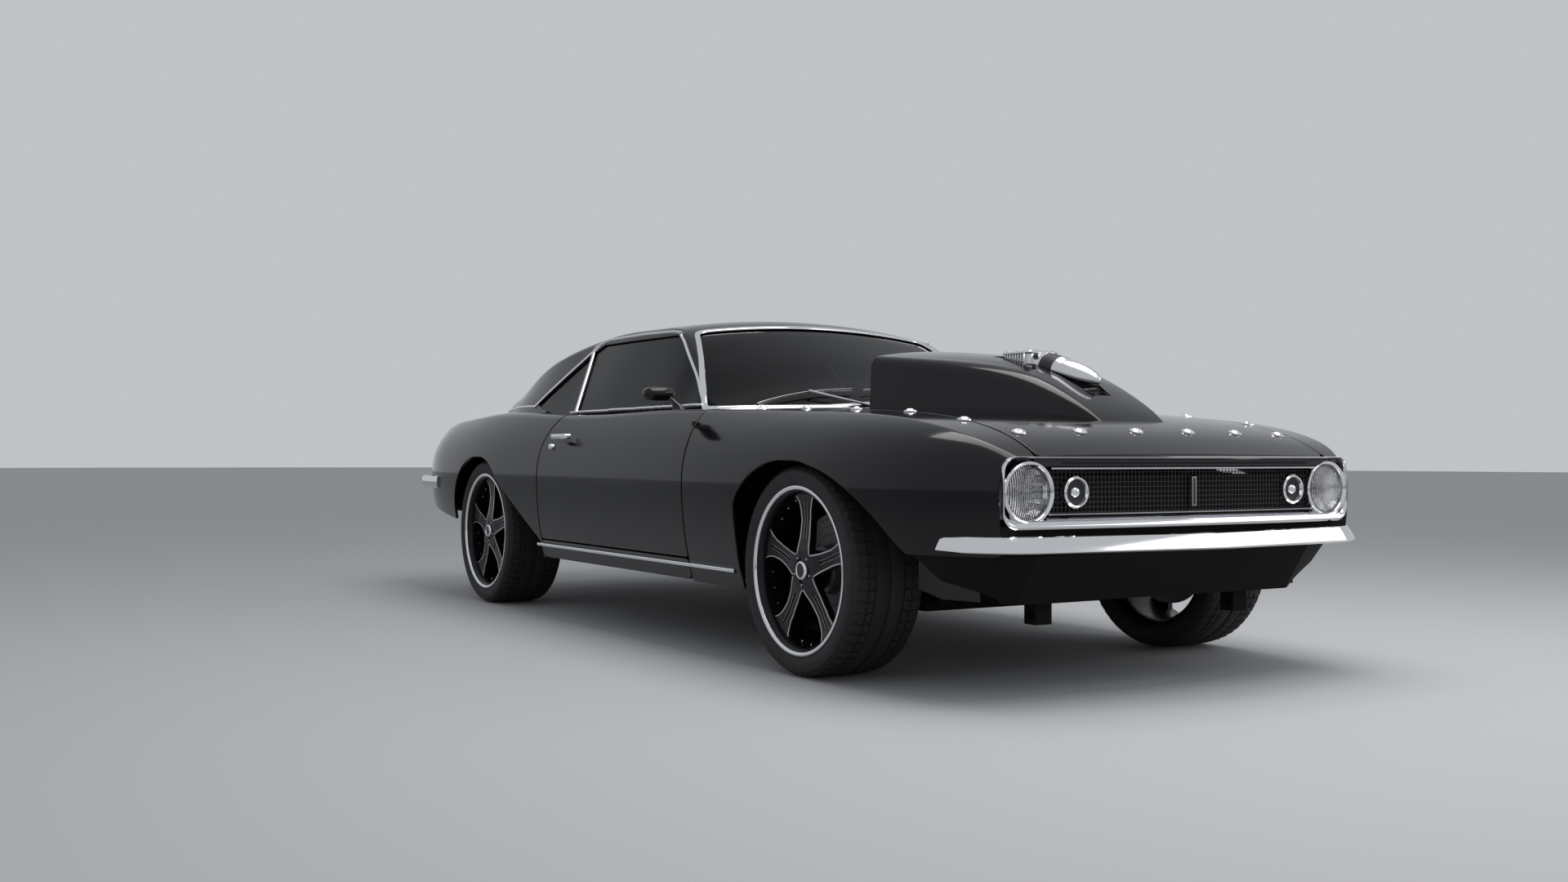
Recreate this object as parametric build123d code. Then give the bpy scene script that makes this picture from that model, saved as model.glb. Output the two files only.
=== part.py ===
from build123d import *
import os
from collections import namedtuple
from math import acos, atan2, cos, hypot, sin

# Two-door muscle car in millimetres: X runs forward, Y to the car's left, Z up from the road.

# Main sizes of the car
WHEELBASE = 2743
FRONT_AXLE_X = 1415
REAR_AXLE_X = FRONT_AXLE_X - WHEELBASE
BUMPER_FRONT_X = 2345
SILL_Z = 250
WIDE_Z = 595
GAP = 6
SEAM = 0.4

# Wheels and brakes
TYRE_R = 332
TYRE_W = 265
TYRE_FACE_Y = 885
BEAD_R = 252
RIM_LIP_R = 266
RIM_IN_R = 236
HUB_R = 62
SPOKES = 5
ROTOR_R = 178
ROTOR_T = 28
ROTOR_Y = 726
SPINDLE_R = 22
PIN_PLAY = 0.3
KINGPIN_Y = 668
ARCH_R = 344

# Doors, hood and deck lid
DOOR_LOW_Z = 332
DOOR_FRONT_X = 705
DOOR_SKEW = 0.1
DOOR_HINGE_X = 645
DOOR_HINGE_Y = 885
DOOR_HINGE_Z = (455, 640)
DOOR_EDGE_R = DOOR_FRONT_X - DOOR_HINGE_X
HINGE_PIN_R = 6
HINGE_STRAP_T = 14
HINGE_STRAP_H = 34
HOOD_HALF = 590
HOOD_REAR_X = 985
LID_HALF = 610
LID_HINGE_X = -1690
LID_HINGE_Z = 866
LID_EDGE_R = 42
LID_LOW_Z = 806

# Lower body: half-sections from the nose to the tail
Body = namedtuple("Body", "x sill_y wide_y shoulder_y shoulder_z crown shoulder_r wall")
BODY = [
    Body(2245, 600, 686, 636, 672, 26, 14, 10),
    Body(2150, 690, 765, 690, 722, 26, 22, 16),
    Body(2050, 760, 822, 718, 757, 26, 30, 30),
    Body(1850, 820, 880, 735, 798, 24, 40, 40),
    Body(1415, 860, 915, 752, 830, 22, 50, 42),
    Body(900, 868, 918, 765, 848, 20, 55, 60),
    Body(300, 868, 911, 785, 858, 16, 50, 95),
    Body(-300, 868, 908, 795, 852, 16, 50, 95),
    Body(-800, 866, 914, 790, 868, 20, 60, 80),
    Body(-1328, 862, 921, 770, 880, 24, 70, 60),
    Body(-1800, 830, 903, 750, 860, 22, 60, 55),
    Body(-2080, 785, 868, 725, 846, 20, 45, 50),
    Body(-2250, 745, 824, 695, 834, 16, 32, 45),
]
TOP_WALL = 32
TAIL_WALL = 45

# Cabin top: half-sections from the windshield base to the foot of the sail panels
Roof = namedtuple("Roof", "x base_y rail_y rail_z crown rail_r")
ROOF = [
    Roof(720, 420, 300, 862, 22, 20),
    Roof(640, 700, 560, 870, 62, 20),
    Roof(540, 802, 690, 890, 98, 24),
    Roof(400, 802, 655, 990, 84, 28),
    Roof(260, 802, 618, 1090, 66, 32),
    Roof(130, 802, 585, 1170, 51, 36),
    Roof(-100, 804, 572, 1202, 50, 40),
    Roof(-400, 806, 568, 1206, 54, 44),
    Roof(-700, 806, 568, 1188, 62, 48),
    Roof(-1000, 804, 604, 1134, 78, 50),
    Roof(-1300, 796, 612, 1044, 58, 48),
    Roof(-1500, 780, 616, 958, 30, 40),
    Roof(-1600, 764, 620, 915, 10, 30),
    Roof(-1665, 745, 622, 850, 6, 20),
]
ROOF_BASE_Z = 780
ROOF_WALL = 38
GLASS_IN = 8
GLASS_T = 6


def block(x0, x1, y0, y1, z0, z1):
    """Box between two corners."""
    return Pos((x0 + x1) / 2, (y0 + y1) / 2, (z0 + z1) / 2) * Box(x1 - x0, y1 - y0, z1 - z0)


def rod_y(x, y0, y1, z, r):
    """Round bar along Y."""
    return Pos(x, (y0 + y1) / 2, z) * Rot(90, 0, 0) * Cylinder(r, abs(y1 - y0))


def rod_x(x0, x1, y, z, r):
    """Round bar along X."""
    return Pos((x0 + x1) / 2, y, z) * Rot(0, 90, 0) * Cylinder(r, abs(x1 - x0))


def rod_z(x, y, z0, z1, r):
    """Round bar along Z."""
    return Pos(x, y, (z0 + z1) / 2) * Cylinder(r, abs(z1 - z0))


def side_plate(points, y0, y1):
    """Plate with an outline in X and Z, between two Y values."""
    face = make_face(Polyline(*[(x, 0, z) for x, z in points], close=True))
    return Pos(0, y0, 0) * extrude(face, amount=y1 - y0, dir=(0, 1, 0))


def plan_plate(points, z0, z1):
    """Plate with an outline in X and Y, between two Z values."""
    face = make_face(Polyline(*[(x, y, 0) for x, y in points], close=True))
    return Pos(0, 0, z0) * extrude(face, amount=z1 - z0, dir=(0, 0, 1))


def flipped(shape):
    """The same piece on the other side of the car."""
    return mirror(shape, about=Plane.XZ)


def closed_wire(half):
    """Full section from a half-section of arcs, three points to an arc, ending on the centre line."""
    other = [Vector(p.X, -p.Y, p.Z) for p in half]
    edges = []
    for i in range(0, len(half) - 3, 2):
        edges.append(Edge.make_three_point_arc(half[i], half[i + 1], half[i + 2]))
    edges.append(Edge.make_three_point_arc(half[-2], half[-1], other[-2]))
    for i in range(len(half) - 2, 1, -2):
        edges.append(Edge.make_three_point_arc(other[i], other[i - 1], other[i - 2]))
    edges.append(Edge.make_line(other[0], half[0]))
    return Wire(edges)


def body_section(row, x, side, top, drop):
    """Lower-body section: a side arc upright at the widest line, a shoulder arc and a crowned top."""
    sill_y = row.sill_y - side
    wide_y = row.wide_y - side
    top_y = row.shoulder_y - side
    top_z = row.shoulder_z - top
    r = row.shoulder_r
    crown_r = (top_y ** 2 + row.crown ** 2) / (2 * row.crown)
    top_a = acos(top_y / crown_r)
    cy = top_y - r * cos(top_a)
    cz = top_z - r * sin(top_a)
    a = cy - wide_y
    b = cz - WIDE_Z
    side_r = (r * r - a * a - b * b) / (2 * (a + r))
    side_a = atan2(b, side_r + a)
    tuck = wide_y - sill_y
    depth = WIDE_Z - SILL_Z + drop
    low_r = (tuck ** 2 + depth ** 2) / (2 * tuck)
    low_a = atan2(depth, low_r - tuck)
    mid_a = (side_a + top_a) / 2
    half = [
        (sill_y, WIDE_Z - depth),
        (wide_y - low_r * (1 - cos(low_a / 2)), WIDE_Z - low_r * sin(low_a / 2)),
        (wide_y, WIDE_Z),
        (wide_y - side_r * (1 - cos(side_a / 2)), WIDE_Z + side_r * sin(side_a / 2)),
        (wide_y - side_r * (1 - cos(side_a)), WIDE_Z + side_r * sin(side_a)),
        (cy + r * cos(mid_a), cz + r * sin(mid_a)),
        (top_y, top_z),
        (0, top_z + row.crown),
    ]
    return closed_wire([Vector(x, y, z) for y, z in half])


def body_loft(walls=0, top=0, drop=0, tail=0):
    """Lower-body solid, drawn in by the walls when walls is 1."""
    wires = []
    for row in BODY:
        x = max(row.x, BODY[-1].x + tail)
        wires.append(body_section(row, x, walls * row.wall, top, drop))
    return Solid.make_loft(wires)


def roof_section(row, inset):
    """Cabin section: a leaning side, a rail arc and a crowned roof."""
    base_y = row.base_y - inset
    top_y = row.rail_y - inset * 0.6
    top_z = row.rail_z - inset
    r = row.rail_r
    crown_r = (top_y ** 2 + row.crown ** 2) / (2 * row.crown)
    top_a = acos(top_y / crown_r)
    cy = top_y - r * cos(top_a)
    cz = top_z - r * sin(top_a)
    reach = hypot(base_y - cy, ROOF_BASE_Z - cz)
    side_a = atan2(ROOF_BASE_Z - cz, base_y - cy) + acos(r / reach)
    side = (cy + r * cos(side_a), cz + r * sin(side_a))
    mid_a = (side_a + top_a) / 2
    half = [
        (base_y, ROOF_BASE_Z),
        side,
        (cy + r * cos(mid_a), cz + r * sin(mid_a)),
        (top_y, top_z),
        (0, top_z + row.crown),
    ]
    right = [Vector(row.x, y, z) for y, z in half]
    left = [Vector(row.x, -y, z) for y, z in half]
    edges = [
        Edge.make_line(right[0], right[1]),
        Edge.make_three_point_arc(right[1], right[2], right[3]),
        Edge.make_three_point_arc(right[3], right[4], left[3]),
        Edge.make_three_point_arc(left[3], left[2], left[1]),
        Edge.make_line(left[1], left[0]),
        Edge.make_line(left[0], right[0]),
    ]
    return Wire(edges)


def roof_loft(inset):
    """Cabin solid drawn in by an even amount."""
    return Solid.make_loft([roof_section(row, inset) for row in ROOF])


# Body shell
body_out = body_loft()
body_in = body_loft(walls=1, top=TOP_WALL, drop=60, tail=TAIL_WALL)
shell = body_out - body_in

# Nose outline in plan, bowed forward to the centre
NOSE_X = 2245
NOSE_SIDE_X = 2206
nose_edges = [
    Edge.make_three_point_arc((NOSE_SIDE_X, -720, 0), (NOSE_X, 0, 0), (NOSE_SIDE_X, 720, 0)),
    Edge.make_line((NOSE_SIDE_X, 720, 0), (2400, 720, 0)),
    Edge.make_line((2400, 720, 0), (2400, -720, 0)),
    Edge.make_line((2400, -720, 0), (NOSE_SIDE_X, -720, 0)),
]
nose_cut = extrude(make_face(nose_edges), amount=1000, dir=(0, 0, 1))
shell = shell - nose_cut

# Door outline, leaning at both ends, run in through the side of the car
DOOR_REAR_X = -632
DOOR_TOP_Z = 900
door_edges = [
    Edge.make_line((DOOR_REAR_X, 0, DOOR_LOW_Z), (DOOR_FRONT_X, 0, DOOR_LOW_Z)),
    Edge.make_line((DOOR_FRONT_X, 0, DOOR_LOW_Z), (DOOR_FRONT_X, 0, 600)),
    Edge.make_three_point_arc((DOOR_FRONT_X, 0, 600), (685, 0, 745), (615, 0, DOOR_TOP_Z)),
    Edge.make_line((615, 0, DOOR_TOP_Z), (-480, 0, DOOR_TOP_Z)),
    Edge.make_three_point_arc((-480, 0, DOOR_TOP_Z), (-580, 0, 812), (-622, 0, 700)),
    Edge.make_line((-622, 0, 700), (DOOR_REAR_X, 0, DOOR_LOW_Z)),
]
door_face = make_face(door_edges)
hole_face = offset(door_face, amount=GAP, kind=Kind.INTERSECTION)
door_prism = Pos(0, -960, 0) * extrude(door_face, amount=320, dir=(DOOR_SKEW, 1, 0))
door_hole = Pos(0, -960, 0) * extrude(hole_face, amount=320, dir=(DOOR_SKEW, 1, 0))

# Wheel openings: low arches that run out forward in a straight slant, and the cabin's opening on top
front_edges = [
    Edge.make_line((1075, 0, 200), (1075, 0, 535)),
    Edge.make_three_point_arc((1075, 0, 535), (1190, 0, 634), (FRONT_AXLE_X, 0, TYRE_R + ARCH_R - 4)),
    Edge.make_three_point_arc((FRONT_AXLE_X, 0, TYRE_R + ARCH_R - 4), (1655, 0, 622), (1850, 0, 500)),
    Edge.make_line((1850, 0, 500), (2068, 0, 290)),
    Edge.make_line((2068, 0, 290), (2068, 0, 200)),
    Edge.make_line((2068, 0, 200), (1075, 0, 200)),
]
ARCH_OUT_Y = -1000
front_arch = Pos(0, ARCH_OUT_Y, 0) * extrude(make_face(front_edges), amount=440, dir=(0, 1, 0))
front_arch += rod_y(FRONT_AXLE_X, ARCH_OUT_Y, -560, TYRE_R, ARCH_R)
rear_slant = [(-1160, 624), (-1107, 590), (-640, 318), (-640, 200), (REAR_AXLE_X - ARCH_R - 40, 200)]
rear_slant += [(REAR_AXLE_X - ARCH_R - 40, TYRE_R), (REAR_AXLE_X, TYRE_R)]
rear_arch = side_plate(rear_slant, ARCH_OUT_Y, -560)
for x in (REAR_AXLE_X, REAR_AXLE_X - 40):
    rear_arch += rod_y(x, ARCH_OUT_Y, -560, TYRE_R, ARCH_R)
cabin_hole = block(-1050, 540, -700, 700, 700, 1000)

# Fenders
VALANCE_TOP = 412
LAMP_Z = 591
LAMP_Y = 622
LAMP_R = 78
LAMP_BACK_X = 2120
COWL_HALF = 770
fender_zone = block(HOOD_REAR_X - GAP, 2300, -1000, -HOOD_HALF - GAP, 200, 1000)
fender_zone += block(600, HOOD_REAR_X - GAP, -1000, -COWL_HALF - SEAM, 200, 1000)
fender_right = (shell & fender_zone) - door_hole - front_arch
fender_right = fender_right - block(FRONT_AXLE_X + 200, 2300, -1000, -500, 200, VALANCE_TOP)
fender_right = fender_right - rod_x(LAMP_BACK_X, 2300, -LAMP_Y, LAMP_Z, LAMP_R + SEAM)
fender_right = fender_right - block(500, DOOR_FRONT_X + GAP, -1000, -500, 200, 340)

# Hood with its scoop
hood = shell & block(HOOD_REAR_X, 2300, -HOOD_HALF, HOOD_HALF, 640, 1000)
Scoop = namedtuple("Scoop", "x half low wall_y wall_z top_y top_z high")
SCOOP = [
    Scoop(1050, 350, 800, 342, 1000, 312, 1040, 1066),
    Scoop(1380, 278, 790, 268, 962, 215, 1012, 1034),
    Scoop(1670, 206, 770, 198, 900, 130, 956, 963),
    Scoop(1950, 150, 740, 146, 798, 130, 808, 812),
]
scoop_wires = []
for row in SCOOP:
    half = [(row.half, row.low), (row.wall_y, row.wall_z), (row.top_y, row.top_z)]
    near = [Vector(row.x, y, z) for y, z in half]
    far = [Vector(row.x, -y, z) for y, z in half]
    bend = Vector(row.x, row.wall_y * 0.8 + row.top_y * 0.2, row.wall_z * 0.25 + row.top_z * 0.75)
    scoop_wires.append(
        Wire(
            [
                Edge.make_line(near[0], near[1]),
                Edge.make_three_point_arc(near[1], bend, near[2]),
                Edge.make_three_point_arc(near[2], Vector(row.x, 0, row.high), far[2]),
                Edge.make_three_point_arc(far[2], Vector(row.x, -bend.Y, bend.Z), far[1]),
                Edge.make_line(far[1], far[0]),
                Edge.make_line(far[0], near[0]),
            ]
        )
    )
SCOOP_WALL = 14
scoop = Solid.make_loft(scoop_wires, True)
scoop_core = Solid.make_loft(scoop_wires[:3], True).moved(Location((-60, 0, -SCOOP_WALL)))
INLET_HALF = 78
inlet = block(1392, 1850, -INLET_HALF, INLET_HALF, 700, 1100)
hood = hood + (scoop - body_in)
hood = hood - scoop_core - inlet

# Cowl, upper deck, quarters, sills and tail
SILL_REAR_X = -628
JACK_Z = SILL_Z + 2
cowl_panel = shell & block(400, HOOD_REAR_X - GAP, -COWL_HALF, COWL_HALF, 700, 1000)
cowl_panel = cowl_panel - cabin_hole
quarter_right = (shell & block(-2300, -440, -1000, -LID_HALF - GAP, 200, 1000)) - door_hole - rear_arch
quarter_right = quarter_right - cabin_hole - block(SILL_REAR_X, 0, -1000, -500, 200, 340)
rear_cut = [(-1600, 200), (-1600, 330), (-1720, 372), (-2300, 430), (-2300, 200)]
quarter_right = quarter_right - side_plate(rear_cut, -1000, -500)
sill_zone = block(SILL_REAR_X + SEAM, DOOR_FRONT_X + GAP - SEAM, -1000, -600, JACK_Z, DOOR_LOW_Z - GAP)
sill_right = shell & sill_zone
upper_deck = shell & block(LID_HINGE_X, -1050, -LID_HALF - GAP + SEAM, LID_HALF + GAP - SEAM, 700, 1000)
upper_deck = upper_deck - rod_y(LID_HINGE_X, -700, 700, LID_HINGE_Z, LID_EDGE_R + GAP)
tail_panel = shell & block(-2300, -2190, -LID_HALF - GAP + SEAM, LID_HALF + GAP - SEAM, 430, LID_LOW_Z - GAP)

# Deck lid with a ducktail lip
lid_nose = rod_y(LID_HINGE_X, -LID_HALF, LID_HALF, LID_HINGE_Z, LID_EDGE_R)
lid_zone = block(-2300, LID_HINGE_X, -LID_HALF, LID_HALF, LID_LOW_Z, 1000) + lid_nose
deck_lid = shell & lid_zone
ducktail = side_plate([(-2110, 846), (-2238, 872), (-2262, 874), (-2248, 832)], -LID_HALF, LID_HALF)
deck_lid = deck_lid + (ducktail - body_in)
LID_STRAP_Y = 400
lid_hinges = []
for y in (-LID_STRAP_Y, LID_STRAP_Y):
    slot = block(LID_HINGE_X - 16, LID_HINGE_X + 60, y - 14, y + 14, 780, LID_HINGE_Z + 12)
    deck_lid = deck_lid - slot
    deck_lid = deck_lid - rod_y(LID_HINGE_X, y - 40, y + 40, LID_HINGE_Z, HINGE_PIN_R + PIN_PLAY)
    strap = block(LID_HINGE_X - 8, LID_HINGE_X + 8, y - 8, y + 8, 786, LID_HINGE_Z)
    strap += rod_y(LID_HINGE_X, y - 8, y + 8, LID_HINGE_Z, 10)
    strap += rod_y(LID_HINGE_X, y - 38, y + 38, LID_HINGE_Z, HINGE_PIN_R)
    strap += block(LID_HINGE_X - 8, -1600, y - 8, y + 8, 780, 796)
    strap += block(-1620, -1600, y - 8, y + 8, 780, 900) & body_in
    lid_hinges.append(strap)

# Doors, with pin hinges on the pillars
door_right = (shell & door_prism) & block(-700, 800, -1000, -690, 300, 1000)
door_right = door_right - block(394, 800, -COWL_HALF - GAP - 2, -600, 700, 1000)
round_cut = block(DOOR_HINGE_X, 800, -1000, -DOOR_HINGE_Y, 300, 1000)
round_cut = round_cut - rod_z(DOOR_HINGE_X, -DOOR_HINGE_Y, 300, 1000, DOOR_EDGE_R)
door_right = door_right - round_cut
inner_cut = block(DOOR_HINGE_X, 800, -DOOR_HINGE_Y, -600, 300, 1000)
inner_cut = inner_cut - rod_z(DOOR_HINGE_X, -DOOR_HINGE_Y, 300, 1000, DOOR_HINGE_Y - COWL_HALF - GAP)
door_right = door_right - inner_cut
PILLAR_Y = 771
pillar_right = block(570, 700, -PILLAR_Y, -PILLAR_Y + 40, DOOR_LOW_Z - GAP + SEAM, 900) & body_in
for z in DOOR_HINGE_Z:
    h = HINGE_STRAP_H / 2
    t = HINGE_STRAP_T / 2
    slot = block(DOOR_HINGE_X - 13, DOOR_HINGE_X + 40, -DOOR_HINGE_Y - 11, -700, z - h - 5, z + h + 5)
    slot += block(DOOR_HINGE_X, DOOR_HINGE_X + 120, -DOOR_HINGE_Y + 6, -700, z - h - 5, z + h + 5)
    door_right = door_right - slot
    bore = rod_z(DOOR_HINGE_X, -DOOR_HINGE_Y, z - h - 30, z + h + 30, HINGE_PIN_R + PIN_PLAY)
    door_right = door_right - bore
    pillar_right += block(DOOR_HINGE_X - t, DOOR_HINGE_X + t, -DOOR_HINGE_Y, -PILLAR_Y + 1, z - h, z + h)
    pillar_right += rod_z(DOOR_HINGE_X, -DOOR_HINGE_Y, z - h, z + h, 9)
    pillar_right += rod_z(DOOR_HINGE_X, -DOOR_HINGE_Y, z - h - 28, z + h + 28, HINGE_PIN_R)

# Roof shell with its window openings
roof_out = roof_loft(0)
roof_in = roof_loft(ROOF_WALL)
glass_band = roof_loft(GLASS_IN) - roof_loft(GLASS_IN + GLASS_T)
SIDE_WINDOW = [(535, 830), (520, 868), (160, 1128), (92, 1162), (-605, 1164), (-690, 1134), (-1035, 914)]
SIDE_WINDOW += [(-940, 890), (-780, 866), (-760, 830)]
side_window = side_plate(SIDE_WINDOW, -900, 900)
front_plane = Plane((430, 0, 1053), x_dir=(0, 1, 0), z_dir=(0.5, 0, 0.866))
front_line = Polyline((-769, -330), (769, -330), (545, 316), (-545, 316), close=True)
front_window = extrude(front_plane * make_face(front_line), amount=160, both=True)
rear_plane = Plane((-1310, 0, 1098), x_dir=(0, 1, 0), z_dir=(-0.447, 0, 0.894))
rear_line = Polyline((-530, -250), (530, -250), (510, 400), (-510, 400), close=True)
rear_window = extrude(rear_plane * make_face(rear_line), amount=160, both=True)
roof_shell = roof_out - roof_in - body_out
roof_shell = roof_shell - side_window - front_window - rear_window
LID_ROOM_X = LID_HINGE_X + LID_EDGE_R + GAP
roof_shell = roof_shell - block(-1800, LID_ROOM_X, -LID_HALF - GAP, LID_HALF + GAP, 800, 1200)
roof_shell = roof_shell.solids().sort_by(SortBy.VOLUME)[-1]

# Glass
windshield = (glass_band & front_window) - body_out
rear_glass = (glass_band & rear_window) - body_out - block(-1800, LID_ROOM_X, -900, 900, 800, 1200)
side_glass = (glass_band & side_window) - body_out
side_glass = side_glass & block(-1100, 600, -900, -500, 800, 1200)
front_part = side_plate([(-537, 780), (700, 780), (700, 1200), (-714, 1200)], -900, 900)
rear_part = side_plate([(-555, 780), (-1200, 780), (-1200, 1200), (-732, 1200)], -900, 900)
DOOR_GLASS = [(458, 800), (458, 904), (156, 1121), (90, 1155), (-609, 1155), (-688, 1127), (-730, 1112)]
DOOR_GLASS += [(-730, 800)]
door_glass_right = side_glass & front_part & side_plate(DOOR_GLASS, -900, 900)
quarter_glass_right = side_glass & rear_part

# Grille, surround and lamps, on plan arcs like the nose
def nose_band(back, front):
    """Space between two copies of the nose outline, given in X from the nose."""
    return Pos(back, 0, 0) * nose_cut - Pos(front, 0, 0) * nose_cut


SURROUND_HALF = 704
SURROUND_Z = (490, 692)
ring_mid = sum(SURROUND_Z) / 2
ring_high = SURROUND_Z[1] - SURROUND_Z[0]
ring_plane = Plane((2100, 0, 0), x_dir=(0, 1, 0), z_dir=(1, 0, 0))
ring_outer = RectangleRounded(2 * SURROUND_HALF, ring_high, 46)
ring_inner = Pos(0, 2) * RectangleRounded(2 * SURROUND_HALF - 36, ring_high - 68, 40)
ring = extrude(ring_plane * (Pos(0, ring_mid) * (ring_outer - ring_inner)), amount=220)
grille_surround = ring & nose_band(SEAM, 24)
grille = block(2100, 2300, -668, 668, 506, 640) & nose_band(-46, -34)
headlamps = []
parking_lamps = []
for side in (-1, 1):
    headlamps.append(rod_x(LAMP_BACK_X, NOSE_SIDE_X, side * LAMP_Y, LAMP_Z, LAMP_R))
    grille = grille - rod_x(2000, 2400, side * LAMP_Y, LAMP_Z, LAMP_R + 1)
    parking_lamps.append(rod_x(2196.6, 2226, side * 448, LAMP_Z, 46))
    grille = grille - rod_x(2190, 2300, side * 448, LAMP_Z, 46.3)
nose_panel = block(2170, NOSE_SIDE_X - SEAM, -760, 760, 440, 499) & body_in
nose_panel = nose_panel + (block(2100, 2170, -560, 560, 480, 499) & body_in)
radiator = block(1936, 1986, -430, 430, 330 + SEAM, 640)

# Bumpers
Blade = namedtuple("Blade", "z back")


def blade_wire(row):
    """Plan outline of the front bumper at one height: pointed at the centre, swept back at the ends."""
    f = BUMPER_FRONT_X - row.back
    z = row.z
    edges = []
    for side in (-1, 1):
        tip = (f - 250, side * (868 - row.back), z)
        tip_in = (f - 250, side * (852 - row.back), z)
        outer = (f - 60, side * 640, z)
        inner = (f - 86, side * 634, z)
        edges.append(Edge.make_line((f, 0, z), outer))
        edges.append(Edge.make_three_point_arc(outer, (f - 114, side * 784, z), tip))
        edges.append(Edge.make_line(tip, tip_in))
        edges.append(Edge.make_three_point_arc(tip_in, (f - 132, side * 768, z), inner))
        edges.append(Edge.make_line(inner, (f - 34, 0, z)))
    return Wire(edges)


blade_rows = (Blade(422, 14), Blade(430, 0), Blade(472, 24))
front_bumper = Solid.make_loft([blade_wire(row) for row in blade_rows], True)
for y in (-400, 400):
    front_bumper += block(NOSE_SIDE_X, 2275, y - 20, y + 20, 441, 462)
rear_loop = [(-2345, 0), (-2340, -600), (-2322, -780), (-2290, -850), (-2225, -888), (-1915, -912)]
rear_loop += [(-1915, -896), (-2218, -870), (-2270, -836), (-2300, -770), (-2306, -590), (-2306, 0)]
rear_loop += [(x, -y) for x, y in rear_loop[-2:0:-1]]
rear_bumper = plan_plate(rear_loop, 518, 576)
for y in (-400, 400):
    rear_bumper += block(-2310, -2250 - SEAM, y - 20, y + 20, 530, 560)
tail_lamps = []
for y in (-520, -370, 370, 520):
    tail_lamps.append(block(-2262, -2250 - SEAM, y - 68, y + 68, 640, 730))

# Front valance
valance_rings = []
for z, f, side in ((VALANCE_TOP - SEAM, 2180, 850), (268, 2090, 815)):
    near = [(1785, -side), (f - 120, -side + 60), (f, -560)]
    far = [(f - 40, -540), (f - 150, 110 - side), (1785, 40 - side)]
    loop = near + [(x, -y) for x, y in near[::-1]] + [(x, -y) for x, y in far[::-1]] + far
    valance_rings.append(Wire.make_polygon([(x, y, z) for x, y in loop]))
front_valance = Solid.make_loft(valance_rings, True) - front_arch - flipped(front_arch)

# Floor, firewall and trunk floor
FLOOR_Z = 262
FLOOR_T = 22
TRUNK_Z = 408
floor_side = [
    (900, FLOOR_Z), (900, 900), (880, 900), (880, FLOOR_Z + FLOOR_T), (-780, FLOOR_Z + FLOOR_T),
    (-960, 520), (-1720, 520), (-1800, 430), (-2204, 430), (-2204, TRUNK_Z), (-1810, TRUNK_Z), (-1730, 498),
    (-950, 498), (-770, FLOOR_Z),
]
TUNNEL_HALF = 150
TUNNEL_TOP = 460
floor_pan = side_plate(floor_side, -900, 900)
wheel_room = block(REAR_AXLE_X - 400, REAR_AXLE_X + 400, -1000, -595, 200, 700)
floor_pan = floor_pan - wheel_room - flipped(wheel_room)
floor_pan = floor_pan - block(-960, 950, -TUNNEL_HALF, TUNNEL_HALF, 200, TUNNEL_TOP)
tunnel = block(-930, 900, -TUNNEL_HALF, TUNNEL_HALF, FLOOR_Z, TUNNEL_TOP)
tunnel = tunnel - block(-1000, 950, 22 - TUNNEL_HALF, TUNNEL_HALF - 22, 200, TUNNEL_TOP - 22)
floor_pan = (floor_pan + tunnel) & body_in
inner_fenders = (block(HOOD_REAR_X, 2140, -620, -574, 690, 900) & body_in).moved(Location((0, 0, -PIN_PLAY)))

# Front frame, control arms and knuckles
RAIL_HALF = 440
TOW_X = 2013
TOW_Z = 228
TOW_R = 14
TOW_HALF = 30
ARM_LOW_Z = 214
ARM_HIGH_Z = 426
ARM_T = 24
frame_rail = block(900 + SEAM, 2036, -RAIL_HALF, -RAIL_HALF + 60, FLOOR_Z, 330)
frame_rail += block(1370, 1460, -RAIL_HALF, -RAIL_HALF + 40, 330, ARM_HIGH_Z + ARM_T)
for z, spread in ((ARM_LOW_Z, 120), (ARM_HIGH_Z, 60)):
    plan = [(FRONT_AXLE_X + spread, -400), (FRONT_AXLE_X + 24, -KINGPIN_Y), (FRONT_AXLE_X - 24, -KINGPIN_Y)]
    plan += [(FRONT_AXLE_X - spread, -400)]
    arm = plan_plate(plan, z, z + ARM_T) + rod_z(FRONT_AXLE_X, -KINGPIN_Y, z, z + ARM_T, 24)
    frame_rail += arm - rod_z(FRONT_AXLE_X, -KINGPIN_Y, 100, 600, 10 + PIN_PLAY)
frame_rail += block(1270, 1560, -RAIL_HALF, -RAIL_HALF + 60, ARM_LOW_Z, FLOOR_Z)
subframe = frame_rail + flipped(frame_rail)
subframe += block(1330, 1500, -RAIL_HALF, RAIL_HALF, 190, 234)
subframe += block(1930, 1990, -RAIL_HALF, RAIL_HALF, 280, 330)
for y in (-RAIL_HALF, RAIL_HALF - 60):
    subframe += block(TOW_X - TOW_HALF, TOW_X + 23, y, y + 60, TOW_Z - TOW_HALF, FLOOR_Z)
subframe = subframe - rod_y(TOW_X, -RAIL_HALF - 5, RAIL_HALF + 5, TOW_Z, TOW_R)


def caliper(x, side_y):
    """Brake caliper over the rotor, on the side away from the nose."""
    body = block(x - 206, x - 122, -772, -688, TYRE_R - 62, TYRE_R + 62)
    body = body - rod_y(x, -ROTOR_Y - ROTOR_T / 2 - 5, -ROTOR_Y + ROTOR_T / 2 + 5, TYRE_R, ROTOR_R + 6)
    return body + block(x - 130, x, -702, side_y, TYRE_R - 20, TYRE_R + 20)


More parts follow.
